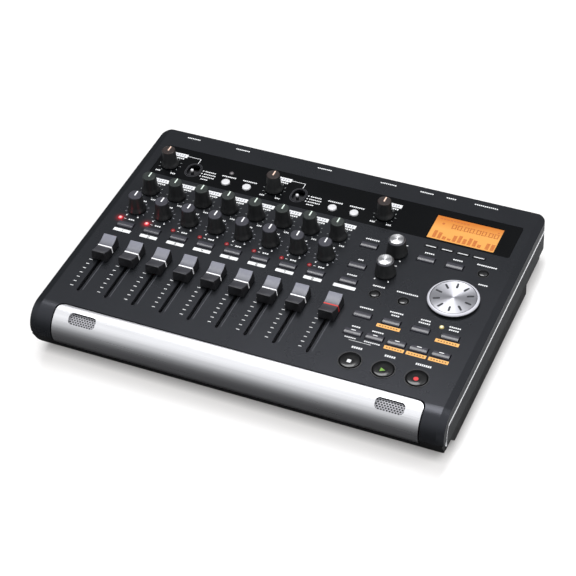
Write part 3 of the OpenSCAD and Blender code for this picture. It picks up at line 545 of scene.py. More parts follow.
def grille_finish():
    """Sheet metal with staggered round holes, laid out along the grille's curve. The holes are dark
    dots of painted shade and are not cut.
    """
    paint = Paint("grille_metal", Roughness=0.35)
    x, y, z = paint.axes()
    along = nose_lean(y, z) * (-NOSE_R / (HOLE_PITCH * HOLE_ROW))
    shift = along.math("FLOOR").math("FLOORED_MODULO", 2.0) * 0.5
    across = x / HOLE_PITCH + shift
    dx = across.math("FRACT") - 0.5
    dy = (along.math("FRACT") - 0.5) * HOLE_ROW
    # Painted shade: each hole is a dark dot for the hollow behind it.
    hole = length(dx, dy) < HOLE_R
    paint.set("Base Color", paint.mix(hole, srgb(178, 178, 182), srgb(8, 8, 9)))
    paint.set("Metallic", GRILLE_METALLIC * (1 - hole))
    return paint.material


RIBS_PER_MM = 8 / (2 * math.pi)


def cap_finish():
    """Ribbed rear half of a fader cap's top: a paler copy of the cap plastic that paints the light
    on it, paler still towards the rear end.
    """
    paint = Paint("cap_lit_rear_top", Coat_Weight=0.1)
    _, y, _ = paint.axes()
    cloud = paint.noise(blotch=3)
    # Painted light: paler towards the rear end of the cap.
    tone = paint.mix((y - FADER_Y).band(0, 8), srgb(70, 71, 78), srgb(122, 123, 134))
    paint.set("Base Color", paint.mix(cloud * 0.2, tone, srgb(74, 75, 82)))
    paint.rough(cloud, level=0.4, spread=0.1)
    ribs = (y * (2 * math.pi * RIBS_PER_MM)).math("SINE")
    paint.bump(ribs, strength=0.25, depth=0.08)
    return paint.material


case_plastic = case_finish()
lamp_red_lit = lit_lamp_finish("lamp_red_lit", ARM_LAMPS[:LIT_LAMPS], core=srgb(255, 190, 190),
                               edge=srgb(205, 34, 48), spill=[6, 0.2, 0.4, 1])
lamp_pale = lit_lamp_finish("lamp_pale", [UNDO_LAMP_AT], core=srgb(255, 250, 214),
                            edge=srgb(150, 132, 70), spill=[0.5, 0.45, 0.2, 1])
selector_white_highlight = selector_finish()
bar_silver = bar_finish()
strip_black = strip_finish()
screen_amber = screen_finish()
grille_metal = grille_finish()
cap_lit_rear_top = cap_finish()
wheel_metal = spun_metal("wheel_metal", srgb(194, 194, 200), WHEEL_AT, rough=0.4)
ENCODER_METALS = [spun_metal(f"encoder_metal_{k}", srgb(220, 220, 222), at, rough=0.36)
                  for k, at in enumerate(ENCODER_AT)]

# CAD nodes shown as they are

CAD_FINISH = {
    "top_cover": case_plastic, "bottom_cover": base_plastic, "front_bar": bar_silver,
    "side_panels": side_plastic, "side_trims": trim_silver, "display_panel": strip_black,
    "display_module": module_black, "circuit_boards": board_green, "slide_pots": pot_metal,
    "rotary_pots": pot_metal, "switches": switch_black, "input_jacks": socket_black,
    "rear_jacks": socket_black, "case_screws": screw_steel, "rubber_feet": rubber,
    "power_button": knob_black,
}
for node, material in CAD_FINISH.items():
    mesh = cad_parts[node].data
    mesh.materials.clear()
    mesh.materials.append(material)

# Knobs. Their profiles start with the shaft, which ends inside the panel

LIFT = 0.8
SHAFT_R, SHAFT_END = 2.9, -2.5
KNOB_H = box("send_knob_1")[1].z - PANEL
DISC_Z = KNOB_H - 0.12
KNOB_PROFILE = [
    (SHAFT_R, SHAFT_END, 0), (SHAFT_R, LIFT, 0), (6.2, LIFT, 0), (6.4, LIFT + 0.2, 0),
    (6.3, 1.6, 0), (5.75, 2.9, 0), (5.4, 3.9, 0), (5.2, 4.8, 0), (4.75, KNOB_H - 0.75, 1),
    (4.68, KNOB_H - 0.35, 1), (4.5, KNOB_H - 0.08, 1), (4.35, KNOB_H, 1), (4.2, DISC_Z, 1),
]
POINTER_W = 0.9
POINTER_FROM, POINTER_TO = -0.7, 3.95
POINTER_SINK, POINTER_RISE = 0.1, 0.06


def knob(node, top, line):
    x, y = middle(node)
    pointer = rect(x, y + (POINTER_FROM + POINTER_TO) / 2, POINTER_W, POINTER_TO - POINTER_FROM)
    disc = PANEL + DISC_Z
    piece = Piece()
    piece.lathe((x, y), KNOB_PROFILE)
    piece.prism(pointer, disc - POINTER_SINK, disc + POINTER_RISE, 2)
    piece.place(f"{node}_look", node, [knob_black, top, line], "knob_plastic", [node])


for i in CHANNELS:
    knob(f"send_knob_{i}", send_top, line_pale)
    knob(f"pan_knob_{i}", pan_top, line_white)
for node in ("gain_knob_a", "gain_knob_b", "phones_knob"):
    knob(node, gain_top, line_orange)

ENCODER_H = box("upper_encoder_knob")[1].z - PANEL
ENCODER_PROFILE = [
    (SHAFT_R, SHAFT_END, 0), (SHAFT_R, LIFT, 0), (7.05, LIFT, 0), (7.25, LIFT + 0.25, 0),
    (7.1, 2, 0), (6.75, 3.2, 0), (6.5, 4.6, 0), (5.85, ENCODER_H - 1.4, 2),
    (5.75, ENCODER_H - 0.8, 2), (5.5, ENCODER_H - 0.5, 0), (4.95, ENCODER_H - 0.7, 1),
    (4.8, ENCODER_H - 0.1, 1), (4.6, ENCODER_H, 1), (0.4, ENCODER_H - 0.1, 1),
]
for node, metal in zip(ENCODER_NODES, ENCODER_METALS):
    piece = Piece()
    piece.lathe(middle(node), ENCODER_PROFILE, 64)
    piece.place(f"{node}_look", node, [knob_black, metal, collar_grey], "knob_metal", [node])

WHEEL_R = 17.25
WHEEL_H = box("data_wheel")[1].z - PANEL
WHEEL_PROFILE = [
    (SHAFT_R, SHAFT_END, 2), (SHAFT_R, LIFT, 2), (WHEEL_R - 0.4, LIFT, 2),
    (WHEEL_R - 0.2, LIFT + 0.2, 2), (WHEEL_R - 0.2, WHEEL_H - 1.2, 3),
    (WHEEL_R, WHEEL_H - 1.1, 3), (WHEEL_R - 0.1, WHEEL_H - 0.7, 3),
    (WHEEL_R - 0.5, WHEEL_H - 0.3, 3), (WHEEL_R - 1.1, WHEEL_H - 0.1, 3),
    (15.6, WHEEL_H, 2), (15.4, WHEEL_H - 0.25, 2), (15.2, WHEEL_H - 0.06, 0),
    (9, WHEEL_H - 0.12, 0), (0.4, WHEEL_H - 0.16, 0),
]
SLOTS = 10
SLOT_FROM, SLOT_TO, SLOT_W = 9.4, 12.8, 1.5
SLOT_TURN = 23.5
SLOT_LOW, SLOT_HIGH = PANEL + WHEEL_H - 0.6, PANEL + WHEEL_H - 0.04


def slot_outline(angle):
    """A finger slot of the wheel, angle degrees from the right."""
    points = []
    for r, start in ((SLOT_TO, -90), (SLOT_FROM, 90)):
        bend = [math.radians(start + 30 * i) for i in range(7)]
        points += [(r + SLOT_W / 2 * math.cos(b), SLOT_W / 2 * math.sin(b)) for b in bend]
    a = math.radians(angle)
    x, y = WHEEL_AT
    return [(x + u * math.cos(a) - v * math.sin(a), y + u * math.sin(a) + v * math.cos(a))
            for u, v in points]


piece = Piece()
piece.lathe(WHEEL_AT, WHEEL_PROFILE, 96)
# Painted shade: each finger slot is a thin dark mark on the top, in place of the hollow.
for k in range(SLOTS):
    piece.prism(slot_outline(SLOT_TURN + 360 / SLOTS * k), SLOT_LOW, SLOT_HIGH, 1)
WHEEL_FINISH = [wheel_metal, wheel_slot_shade, knob_black, rim_silver]
piece.place("data_wheel_look", "data_wheel", WHEEL_FINISH, "knob_metal", ["data_wheel"])

# Faders

CAP_L = 18.6
CAP_W = 11.4
CAP_TOP_W = 9.8
CAP_H = 8.2
CAP_LAND = 0.8
CAP_LINE = 1.0
CAP_STEPS = 8
SADDLE = 2.4
SADDLE_HALF = CAP_L / 2 - CAP_LAND
SADDLE_R = (SADDLE_HALF ** 2 + SADDLE ** 2) / (2 * SADDLE)
LEVER_W, LEVER_D = 1.4, 4
LEVER_LOW, LEVER_HIGH = PANEL - 9.5, PANEL + LIFT + 0.5


def cap_section(x, y):
    """Outline of a fader cap across its travel, at distance y behind its middle."""
    inside = min(abs(y), SADDLE_HALF)
    top = CAP_H - SADDLE + SADDLE_R - math.sqrt(SADDLE_R ** 2 - inside ** 2)
    share = (top - LIFT) / (CAP_H - LIFT)
    half = CAP_W / 2 + (CAP_TOP_W - CAP_W) / 2 * share
    corners = ((-CAP_W / 2, LIFT), (CAP_W / 2, LIFT), (half, top), (-half, top))
    return [(x + dx, FADER_Y + y, PANEL + z) for dx, z in corners]


def fader(node, line):
    x = middle(node)[0]
    edge = CAP_LINE / 2
    half = [edge + (SADDLE_HALF - edge) * i / CAP_STEPS for i in range(CAP_STEPS + 1)]
    half.append(CAP_L / 2)
    places = [-y for y in reversed(half)] + half
    # The tops of the caps take the paler copies of the cap plastic, as painted light; the sides and
    # the lever take the plain dark plastic.
    front, rear = (2, 2, 3, 2), (2, 2, 0, 2)
    mats = [front] * (len(half) - 1) + [1] + [rear] * (len(half) - 1)
    piece = Piece()
    piece.skin([cap_section(x, y) for y in places], mats, (2, 2))
    piece.prism(rect(x, FADER_Y, LEVER_W, LEVER_D), LEVER_LOW, LEVER_HIGH, 2)
    piece.place(f"{node}_look", node, [cap_lit_rear_top, line, cap_dark, cap_lit_front_top], "fader_plastic",
                [node], bevel=0.3, sharp=25)


for i in CHANNELS:
    fader(f"fader_{i}", line_white)
fader("fader_master", line_red)

# Keys and buttons

KEY_W, KEY_D, KEY_H = 11.6, 4.6, 1.2
KEY_FRONT, KEY_DROP = 2.8, 0.95
SOFT_W, SOFT_D, SOFT_H = 8, 2.2, 0.5
SOFT_FRONT, SOFT_DROP = 0.8, 0.4
ROUND_R, WHITE_R, ROUND_H = 3.2, 3.1, 0.9
TRANSPORT_R, TRANSPORT_H = 6.85, 1.1
UNDER = -2.0
REAR_BEVEL = 0.25
ROLL_STEPS = 8
MARK_SINK, MARK_RISE = 0.3, 0.02
WIND_MARK_W, WIND_MARK_D, WIND_MARK_SHIFT = 3.4, 0.9, 1.3
SOFT_MARK_W, SOFT_MARK_D, SOFT_MARK_SHIFT = SOFT_W - 1.2, 0.6, -0.55


def rolled_key(piece, at, w, d, h, front, drop):
    """A bar key whose top rolls over to the front, by drop over a depth of front."""
    x, y = at
    roll = [math.radians(90 * i / ROLL_STEPS) for i in range(ROLL_STEPS + 1)]
    section = [(-d / 2, UNDER)]
    section += [(-d / 2 + front * (1 - math.cos(a)), h - drop * (1 - math.sin(a))) for a in roll]
    section += [(d / 2 - REAR_BEVEL, h), (d / 2, h - REAR_BEVEL), (d / 2, UNDER)]
    ends = [[(x + side * w / 2, y + dy, PANEL + z) for dy, z in section] for side in (-1, 1)]
    piece.skin(ends)


def bar_key(piece, at):
    rolled_key(piece, at, KEY_W, KEY_D, KEY_H, KEY_FRONT, KEY_DROP)


def key_mark(piece, x, y, w, d, h):
    """A bar printed on the top of a key of height h."""
    piece.prism(rect(x, y, w, d), PANEL + h - MARK_SINK, PANEL + h + MARK_RISE, 1)


def round_profile(r, h, mat=0):
    """A key with a slightly domed top and a soft edge."""
    return [(r, UNDER, mat), (r, h - 0.55, mat), (r - 0.12, h - 0.3, mat), (r - 0.4, h - 0.12, mat),
            (r * 0.55, h - 0.03, mat), (0.3, h, mat)]


def bar_keys(node, places, marked=()):
    """The bar keys of a node. Those at the places in marked have a short printed bar."""
    piece = Piece()
    for at in places:
        bar_key(piece, at)
    for x, y in marked:
        key_mark(piece, x, y + WIND_MARK_SHIFT, WIND_MARK_W, WIND_MARK_D, KEY_H)
    finish = [key_plastic, print_white]
    piece.place(f"{node}_look", node, finish, "key_plastic", [node], bevel=0.2)


bar_keys("arm_keys", [(x, ARM_Y) for x in CHANNEL_X])
bar_keys("effect_keys", [(MASTER_X, y) for y in EFFECT_Y])
bar_keys("locate_keys", [(x, LOCATE_Y) for x in COLUMN_X] + WIND_AT, marked=WIND_AT)

piece = Piece()
for x in COLUMN_X[1:3]:
    bar_key(piece, (x, MENU_Y))
for at in ROUND_AT:
    piece.lathe(at, round_profile(ROUND_R, ROUND_H, 1), 32)
MENU_FINISH = [key_plastic, gloss_black]
piece.place("menu_keys_look", "menu_keys", MENU_FINISH, "key_plastic", ["menu_keys"], bevel=0.2)

piece = Piece()
for x, y in SOFT_AT:
    rolled_key(piece, (x, y), SOFT_W, SOFT_D, SOFT_H, SOFT_FRONT, SOFT_DROP)
    key_mark(piece, x, y + SOFT_MARK_SHIFT, SOFT_MARK_W, SOFT_MARK_D, SOFT_H)
piece.place("soft_keys_look", "soft_keys", [key_dark, print_white], "key_plastic", ["soft_keys"])

piece = Piece()
for at in WHITE_AT:
    piece.lathe(at, round_profile(WHITE_R, ROUND_H), 32)
piece.place("input_buttons_look", "input_buttons", [white_plastic], "white_plastic",
            ["input_buttons"])

# The transport buttons' edge, as (inset, drop) from the rim and the top
TRANSPORT_EDGE = ((0, 0.6), (0.1, 0.36), (0.3, 0.19), (0.4, 0.15), (0.8, 0.03), (0.95, 0))
TRANSPORT_PROFILE = [
    (TRANSPORT_R, UNDER, 0),
    *[(TRANSPORT_R - inset, TRANSPORT_H - drop, 0) for inset, drop in TRANSPORT_EDGE],
    (3, TRANSPORT_H, 0),
]
SIGN_R = 1.65
SIGN_SHIFT = 1.4
SIGN_LOW, SIGN_HIGH = PANEL + TRANSPORT_H - 0.6, PANEL + TRANSPORT_H + 0.03


def sign_outline(name, x, y):
    if name == "stop":
        return rect(x, y, 1.6 * SIGN_R, 1.6 * SIGN_R)
    if name == "play":
        left, right = x - 0.8 * SIGN_R, x + 1.2 * SIGN_R
        return [(left, y - SIGN_R), (right, y), (left, y + SIGN_R)]
    return circle(x, y, SIGN_R, 24)


SIGN_PAINT = {"stop": print_white, "play": print_green, "record": print_red}
for (name, paint), (x, y) in zip(SIGN_PAINT.items(), TRANSPORT_AT):
    node = f"{name}_button"
    piece = Piece()
    piece.lathe((x, y), TRANSPORT_PROFILE)
    piece.prism(sign_outline(name, x, y - SIGN_SHIFT), SIGN_LOW, SIGN_HIGH, 1)
    piece.place(f"{node}_look", node, [transport_black, paint], "transport_plastic", [node])

# Lamps

LAMP_PROFILE = [(1.6, -3, 0), (1.6, -0.2, 0), (1.45, 0.35, 0), (1.0, 0.65, 0), (0.4, 0.78, 0)]


def lamps(name, places, material, stands_for=()):
    piece = Piece()
    for at in places:
        piece.lathe(at, LAMP_PROFILE, 24)
    piece.place(name, "case", [material], "lamp", stands_for)


lamps("arm_lamps_lit", ARM_LAMPS[:LIT_LAMPS], lamp_red_lit, ["led_lenses"])
# The unlit arm lamps, with a faint painted glow.
lamps("arm_lamps", ARM_LAMPS[LIT_LAMPS:], lamp_red)
lamps("undo_lamp", [UNDO_LAMP_AT], lamp_pale)
lamps("input_lamp", [INPUT_LAMP_AT], lamp_clear)

# Microphone grilles, which reach a little past the bar's openings

MIC_X = HALF_W - 37.5
MIC_W, MIC_H = 19.6, 8
MIC_LEAN = 32.5
GRILLE_REACH = 0.6
GRILLE_R = NOSE_R - 2.55
GRILLE_T = 0.8


def arc(x, radius, steps=10):
    """Points along the nose's curve in front of a microphone."""
    reach = math.degrees((MIC_H / 2 + GRILLE_REACH) / NOSE_R)
    lean = [math.radians(MIC_LEAN - reach + 2 * reach * i / steps) for i in range(steps + 1)]
    return [(x, NOSE_Y - radius * math.sin(a), NOSE_Z + radius * math.cos(a)) for a in lean]


piece = Piece()
for side in (-1, 1):
    half = MIC_W / 2 + GRILLE_REACH
    ends = [side * MIC_X - half, side * MIC_X + half]
    piece.skin([arc(x, GRILLE_R) + arc(x, GRILLE_R - GRILLE_T)[::-1] for x in ends])
piece.place("microphone_grilles", "case", [grille_metal], "grille_metal", ["microphones"])

# Slide selectors

PIN_R = 1.15
PIN_TOP = box("input_selector_a")[1].z - PANEL
PLATE_W, PLATE_D, PLATE_TOP = 8.4, 8.2, -2.6
PIN_PROFILE = [
    (PIN_R, PLATE_TOP - 0.5, 0), (PIN_R, PIN_TOP - 1.0, 0), (PIN_R * 0.9, PIN_TOP - 0.5, 0),
    (PIN_R * 0.7, PIN_TOP - 0.2, 0), (PIN_R * 0.4, PIN_TOP - 0.05, 0), (0.2, PIN_TOP, 0),
]
for node in SELECTOR_NODES:
    at = middle(node)
    piece = Piece()
    plate = rounded(*at, PLATE_W, PLATE_D, 0.5)
    piece.prism(plate, PANEL + PLATE_TOP - 1, PANEL + PLATE_TOP)
    piece.lathe(at, PIN_PROFILE, 24)
    piece.place(f"{node}_look", node, [selector_white_highlight], "selector_plastic", [node])

# Rings in the panel


def oblong(x, y, w, d):
    """Outline with round ends."""
    return rounded(x, y, w, d, w / 2 - 0.01, 8)


# Rings round a selector, each as its outer and inner size, and how far it goes down and up
SELECTOR_RINGS = (((11.2, 15.4), (10, 14.2), 0.3, 0.15), ((9.4, 13.2), (8.6, 12.2), 0.6, 0.25))
piece = Piece()
for x, y in SELECTOR_AT:
    for outer, inner, down, up in SELECTOR_RINGS:
        piece.ring(oblong(x, y, *outer), oblong(x, y, *inner), PANEL - down, PANEL + up)
piece.place("selector_rings", "case", [ring_grey], "selector_plastic")

# Rings round the keys, as their places, the key's and the ring's radius, height and steps
KEY_RINGS = ((TRANSPORT_AT, TRANSPORT_R, 8.1, 0.3, 48), (ROUND_AT, ROUND_R, 4.2, 0.2, 32))
RING_GAP, RING_SINK = 0.45, 0.3
piece = Piece()
for places, key_r, ring_r, up, steps in KEY_RINGS:
    for x, y in places:
        outer, inner = circle(x, y, ring_r, steps), circle(x, y, key_r + RING_GAP, steps)
        piece.ring(outer, inner, PANEL - RING_SINK, PANEL + up)
piece.place("key_rings", "case", [key_dark], "key_plastic", bevel=0.1)

# Screen picture: plain time digits, level bars and small marks

GLASS_Z = PANEL - 0.5
SCREEN_W, SCREEN_D = 47.4, 23.9
SCREEN_LEFT, SCREEN_REAR = SCREEN_X - SCREEN_W / 2, SCREEN_Y + SCREEN_D / 2
SCREEN_INK = (GLASS_Z, GLASS_Z + 0.05)
DIGIT_STROKES = {"a": (0, 1, 1, 1), "b": (1, 0.5, 1, 1), "c": (1, 0, 1, 0.5), "d": (0, 0, 1, 0),
                 "e": (0, 0, 0, 0.5), "f": (0, 0.5, 0, 1), "g": (0, 0.5, 1, 0.5)}
DIGITS = {"0": "abcdef", "1": "bc", "2": "abged", "3": "abgcd", "4": "fgbc", "5": "afgcd",
          "6": "afgedc", "7": "abc", "8": "abcdefg"}


def digit(piece, figure, x, y, w, d, stroke, low, high, mat=0):
    """A plain figure of straight strokes whose lower left corner is at x, y."""
    for name in DIGITS[figure]:
        x0, y0, x1, y1 = DIGIT_STROKES[name]
        wide = abs(x1 - x0) * w + stroke
        deep = abs(y1 - y0) * d + stroke
        bar = rect(x + (x0 + x1) / 2 * w, y + (y0 + y1) / 2 * d, wide, deep)
        piece.prism(bar, low, high, mat)


def screen_mark(piece, x, y, w, d):
    """A bar x to the right of the screen's left edge and y in front of its rear edge."""
    piece.prism(rect(SCREEN_LEFT + x, SCREEN_REAR - y, w, d), *SCREEN_INK)


piece = Piece()
piece.prism(rect(SCREEN_X, SCREEN_Y, SCREEN_W, SCREEN_D), GLASS_Z - 0.3, GLASS_Z + 0.02)
piece.place("screen_face", "case", [screen_amber], "screen")

STATUS_MARKS, STATUS_X, STATUS_Y, STATUS_PITCH = 9, 3.4, 2.6, 2.4
STATUS_W, STATUS_D = 1.7, 1.1
DOT_X, DOT_Y, DOT_R = 6.4, 7.2, 1.0
POINT_X, POINT_Y, POINT_W = 12.05, 9.7, 0.6
CORNER_X, CORNER_Y, CORNER_W, CORNER_D = SCREEN_W - 2.6, 4, 1.3, 1.2
TIME_X, TIME_Y = 13.2, 9.8
TIME_PITCH, TIME_PAIR_GAP = 3.9, 0.9
TIME_W, TIME_D, TIME_STROKE = 2.4, 3.8, 0.6
LEVELS = (7, 6, 3, 2, 6, 7, 5, 7, 6, 3, 6, 6)
LEVEL_X, LEVEL_Y = 4.4, 22
LEVEL_PITCH, LEVEL_STEP = 3.55, 1.05
LEVEL_W, LEVEL_D = 2.5, 0.9
MASTER_LEVELS_FROM, MASTER_LEVELS_GAP = 10, 2.0
piece = Piece()
for k in range(STATUS_MARKS):
    screen_mark(piece, STATUS_X + STATUS_PITCH * k, STATUS_Y, STATUS_W, STATUS_D)
piece.prism(circle(SCREEN_LEFT + DOT_X, SCREEN_REAR - DOT_Y, DOT_R, 16), *SCREEN_INK)
for k in range(8):
    x = SCREEN_LEFT + TIME_X + TIME_PITCH * k + TIME_PAIR_GAP * (k // 2)
    digit(piece, "0", x, SCREEN_REAR - TIME_Y, TIME_W, TIME_D, TIME_STROKE, *SCREEN_INK)
for k in (1, 2, 3):
    x = POINT_X + (2 * TIME_PITCH + TIME_PAIR_GAP) * k
    screen_mark(piece, x, POINT_Y, POINT_W, POINT_W)
screen_mark(piece, CORNER_X, CORNER_Y, CORNER_W, CORNER_D)
for k, level in enumerate(LEVELS):
    x = LEVEL_X + LEVEL_PITCH * k + (MASTER_LEVELS_GAP if k >= MASTER_LEVELS_FROM else 0)
    for step in range(level):
        screen_mark(piece, x, LEVEL_Y - step * LEVEL_STEP, LEVEL_W, LEVEL_D)
piece.place("screen_marks", "case", [screen_ink], "screen")

# Printed marks: plain bars and ticks

INK = PANEL + 0.03
INK_BASE = PANEL - 0.05
INK_OVER = INK + 0.02
DASH, DASH_GAP, DASH_H = 1.0, 0.4, 1.2
TICK_FROM, TICK_TO, TICK_W = 7.2, 8.3, 0.4


def ink(piece, outline, mat=0):
    piece.prism(outline, INK_BASE, INK, mat)


def dashes(piece, x, y, long, height=DASH_H):
    """A row of plain dashes centred at x, y."""
    count = max(1, round(long / (DASH + DASH_GAP)))
    pitch = long / count
    for k in range(count):
        ink(piece, rect(x - long / 2 + pitch * (k + 0.5), y, pitch - DASH_GAP, height))


def dash_rows(piece, at, rows):
    """Rows of dashes, each given as (x, y, length, height), with x and y measured from at."""
    for x, y, long, height in rows:
        dashes(piece, at[0] + x, at[1] + y, long, height)


def tick(piece, at, angle, inner, outer, wide, mat=0):
    """A short stroke that points away from at, angle degrees clockwise from the rear."""
    a = math.radians(angle)
    out, along = Vector((math.sin(a), math.cos(a))), Vector((math.cos(a), -math.sin(a)))
    ends = ((inner, -1), (outer, -1), (outer, 1), (inner, 1))
    corners = [Vector(at) + out * r + along * side * wide / 2 for r, side in ends]
    ink(piece, [tuple(corner) for corner in corners], mat)


def scale(piece, at, mat):
    """The ticks round a knob."""
    for angle in range(-150, 151, 30):
        tick(piece, at, angle, TICK_FROM, TICK_TO, TICK_W, mat)


LABEL_EDGE = 2
LABEL_PITCH, LABEL_DASH, LABEL_MARGIN = 1.9, 1.1, 1.9


def label(piece, x, y, w, d):
    """A filled box with a row of dim dashes in it."""
    ink(piece, rect(x, y, w, d))
    count = round((w - LABEL_EDGE) / LABEL_PITCH)
    for k in range(count):
        dash_x = x + (k - (count - 1) / 2) * LABEL_PITCH
        piece.prism(rect(dash_x, y, LABEL_DASH, d - LABEL_MARGIN), INK_BASE, INK_OVER, 1)


# Marks round the knobs
KNOB_LABEL_W, KNOB_LABEL_D, KNOB_LABEL_GAP = 16, 3.6, 12.3
KNOB_ROWS = ((3.1, 8.9, 7.4, 1.4), (-5.9, -8.4, 3.8, 1.3), (5.9, -8.4, 3.8, 1.3))
PAN_ROWS = ((0, 9.6, 5, 1.3),)
PAN_END_X, PAN_END_Y, PAN_END_W, PAN_END_D = 4.3, 7.6, 1.0, 1.1
ARM_ROW_Y, ARM_ROW_X, ARM_LENGTH = LAMP_Y + 0.2, 1.2, 4.6
LEAD_X, LEAD_W, LEAD_D = -3.6, 1.6, 0.35
marks = Piece()
for at in [(x, SEND_Y) for x in CHANNEL_X] + GAIN_AT + [PHONES_AT]:
    scale(marks, at, 2)
    label(marks, at[0], at[1] + KNOB_LABEL_GAP, KNOB_LABEL_W, KNOB_LABEL_D)
    dash_rows(marks, at, KNOB_ROWS)
for x in CHANNEL_X:
    scale(marks, (x, PAN_Y), 1)
    dash_rows(marks, (x, PAN_Y), PAN_ROWS)
    for side in (-1, 1):
        ink(marks, rect(x + side * PAN_END_X, PAN_Y - PAN_END_Y, PAN_END_W, PAN_END_D))
    ink(marks, rect(x + LEAD_X, ARM_ROW_Y, LEAD_W, LEAD_D))
    dashes(marks, x + ARM_ROW_X, ARM_ROW_Y, ARM_LENGTH)

# Marks beside the selectors, each joined to its gain knob's label by a bent line
SELECTOR_ROWS = (8.4, 9.4, 9.4, 5.6)
SELECTOR_ROW_X, SELECTOR_ROW_Y, SELECTOR_ROW_PITCH = 8.6, 1.6, 2.8
SELECTOR_ROW_H = 1.0
SELECTOR_DOT_X, SELECTOR_DOT_R = 7.2, 0.55
SELECTOR_REACH = 7.7
BEND_W, BEND_SHIFT = 0.4, 0.2
for (x, y), (gain_x, gain_y) in zip(SELECTOR_AT, GAIN_AT):
    label_end = gain_x + KNOB_LABEL_W / 2
    bend_y = gain_y + KNOB_LABEL_GAP + BEND_SHIFT
    ring_y = y + SELECTOR_REACH
    ink(marks, rect((label_end + x) / 2, bend_y, x - label_end, BEND_W))
    ink(marks, rect(x, (bend_y + ring_y) / 2, BEND_W, bend_y - ring_y))
    for k, long in enumerate(SELECTOR_ROWS):
        row_y = y + SELECTOR_ROW_Y - SELECTOR_ROW_PITCH * k
        dashes(marks, x + SELECTOR_ROW_X + long / 2, row_y, long, SELECTOR_ROW_H)
        if k < len(SELECTOR_ROWS) - 1:
            ink(marks, circle(x + SELECTOR_DOT_X, row_y, SELECTOR_DOT_R, 12))

# Marks along the rear edge, over the sockets, each as x and length
REAR_ROWS = ((-119.7, 10.5), (-80.7, 11), (-17, 11), (31.4, 12), (60, 10), (77.9, 7.2), (103.4, 17))
REAR_ROW_Y, REAR_ROW_H = row(5), 1.1

# Marks over or under the keys and buttons, as their gaps from the key and their lengths
WHITE_UP, WHITE_LENGTH = 6, 11
EFFECT_UP, EFFECT_LENGTHS = 6.5, (10, 4, 7.2)
ROUND_UP, ROUND_LENGTHS = 7.5, (14, 8.6, 15)
MENU_UP, MENU_LENGTH = 6.6, 7
WHEEL_ROW = (3.4, -10.6, 6.6, DASH_H)
FIRST_LOCATE_UP, FIRST_LOCATE_LENGTH = 7, 9.4
LOCATE_UPPER, LOCATE_LOWER = 9.6, 6.9
LOCATE_LENGTHS = ((9.4, 5.6), (7, 8), (8, 6.8))
WIND_UP, WIND_DOWN, WIND_DOWN_H = 5.6, 4.8, 1.0
WIND_LENGTHS = ((6, 8), (8, 11))
BRACKET_DOWN, BRACKET_D = 6.8, 0.3
TRANSPORT_UP, TRANSPORT_ROW_H = 12, 1.7
TRANSPORT_LENGTHS = (7.4, 7.4, 10.6)

# Marks round the encoder knobs: a bar behind each and a tick at either end of its turn
ENCODER_BAR = (3.5, 8.8, 2.2, 0.8)
ENCODER_TICK = (8.2, 9.4, 0.8)
ENCODER_TICK_TURN = 147

for x, y in WHITE_AT:
    dashes(marks, x, y + WHITE_UP, WHITE_LENGTH)
for x, long in REAR_ROWS:
    dashes(marks, x, REAR_ROW_Y, long, REAR_ROW_H)
for y, long in zip(EFFECT_Y, EFFECT_LENGTHS):
    dashes(marks, MASTER_X, y + EFFECT_UP, long)
for (x, y), long in zip(ROUND_AT, ROUND_LENGTHS):
    dashes(marks, x, y + ROUND_UP, long)
for x in COLUMN_X[1:3]:
    dashes(marks, x, MENU_Y + MENU_UP, MENU_LENGTH)
dash_rows(marks, (COLUMN_X[3], MENU_Y), [WHEEL_ROW])
for x, y in ENCODER_AT:
    bar_x, bar_y, bar_w, bar_d = ENCODER_BAR
    ink(marks, rect(x + bar_x, y + bar_y, bar_w, bar_d))
    for angle in (-ENCODER_TICK_TURN, ENCODER_TICK_TURN):
        tick(marks, (x, y), angle, *ENCODER_TICK)
dashes(marks, COLUMN_X[0], LOCATE_Y + FIRST_LOCATE_UP, FIRST_LOCATE_LENGTH)
for x, (upper, lower) in zip(COLUMN_X[1:], LOCATE_LENGTHS):
    dashes(marks, x, LOCATE_Y + LOCATE_UPPER, upper)
    dashes(marks, x, LOCATE_Y + LOCATE_LOWER, lower)
for (x, y), (upper, lower) in zip(WIND_AT, WIND_LENGTHS):
    dashes(marks, x, y + WIND_UP, upper)
    dashes(marks, x, y - WIND_DOWN, lower, WIND_DOWN_H)
ink(marks, rect((WIND_X[0] + WIND_X[1]) / 2, WIND_Y - BRACKET_DOWN, WIND_PITCH, BRACKET_D))
for (x, y), long in zip(TRANSPORT_AT, TRANSPORT_LENGTHS):
    dashes(marks, x, y + TRANSPORT_UP, long, TRANSPORT_ROW_H)

# Fader scales, and a pale line of painted highlight beside each fader slot
FADER_TICKS, FADER_TICK_PITCH, FADER_TICK_ROW = 11, 4.5, 173.8
FADER_TICK_GAP, FADER_TICK_W, FADER_TICK_D = 6.3, 2.2, 0.5
EDGE_GAP, EDGE_W, EDGE_L, EDGE_SHIFT = 2.9, 0.4, 46, 15.5
for x in CHANNEL_X + [MASTER_X]:
    for k in range(FADER_TICKS):
        tick_y = row(FADER_TICK_ROW - FADER_TICK_PITCH * k)
        ink(marks, rect(x - FADER_TICK_GAP, tick_y, FADER_TICK_W, FADER_TICK_D))
    ink(marks, rect(x + EDGE_GAP, FADER_Y - EDGE_SHIFT, EDGE_W, EDGE_L), 3)
MARK_FINISH = [print_white, print_grey, print_dim, slot_rim_highlight]
marks.place("panel_marks", "case", MARK_FINISH, "case_plastic")

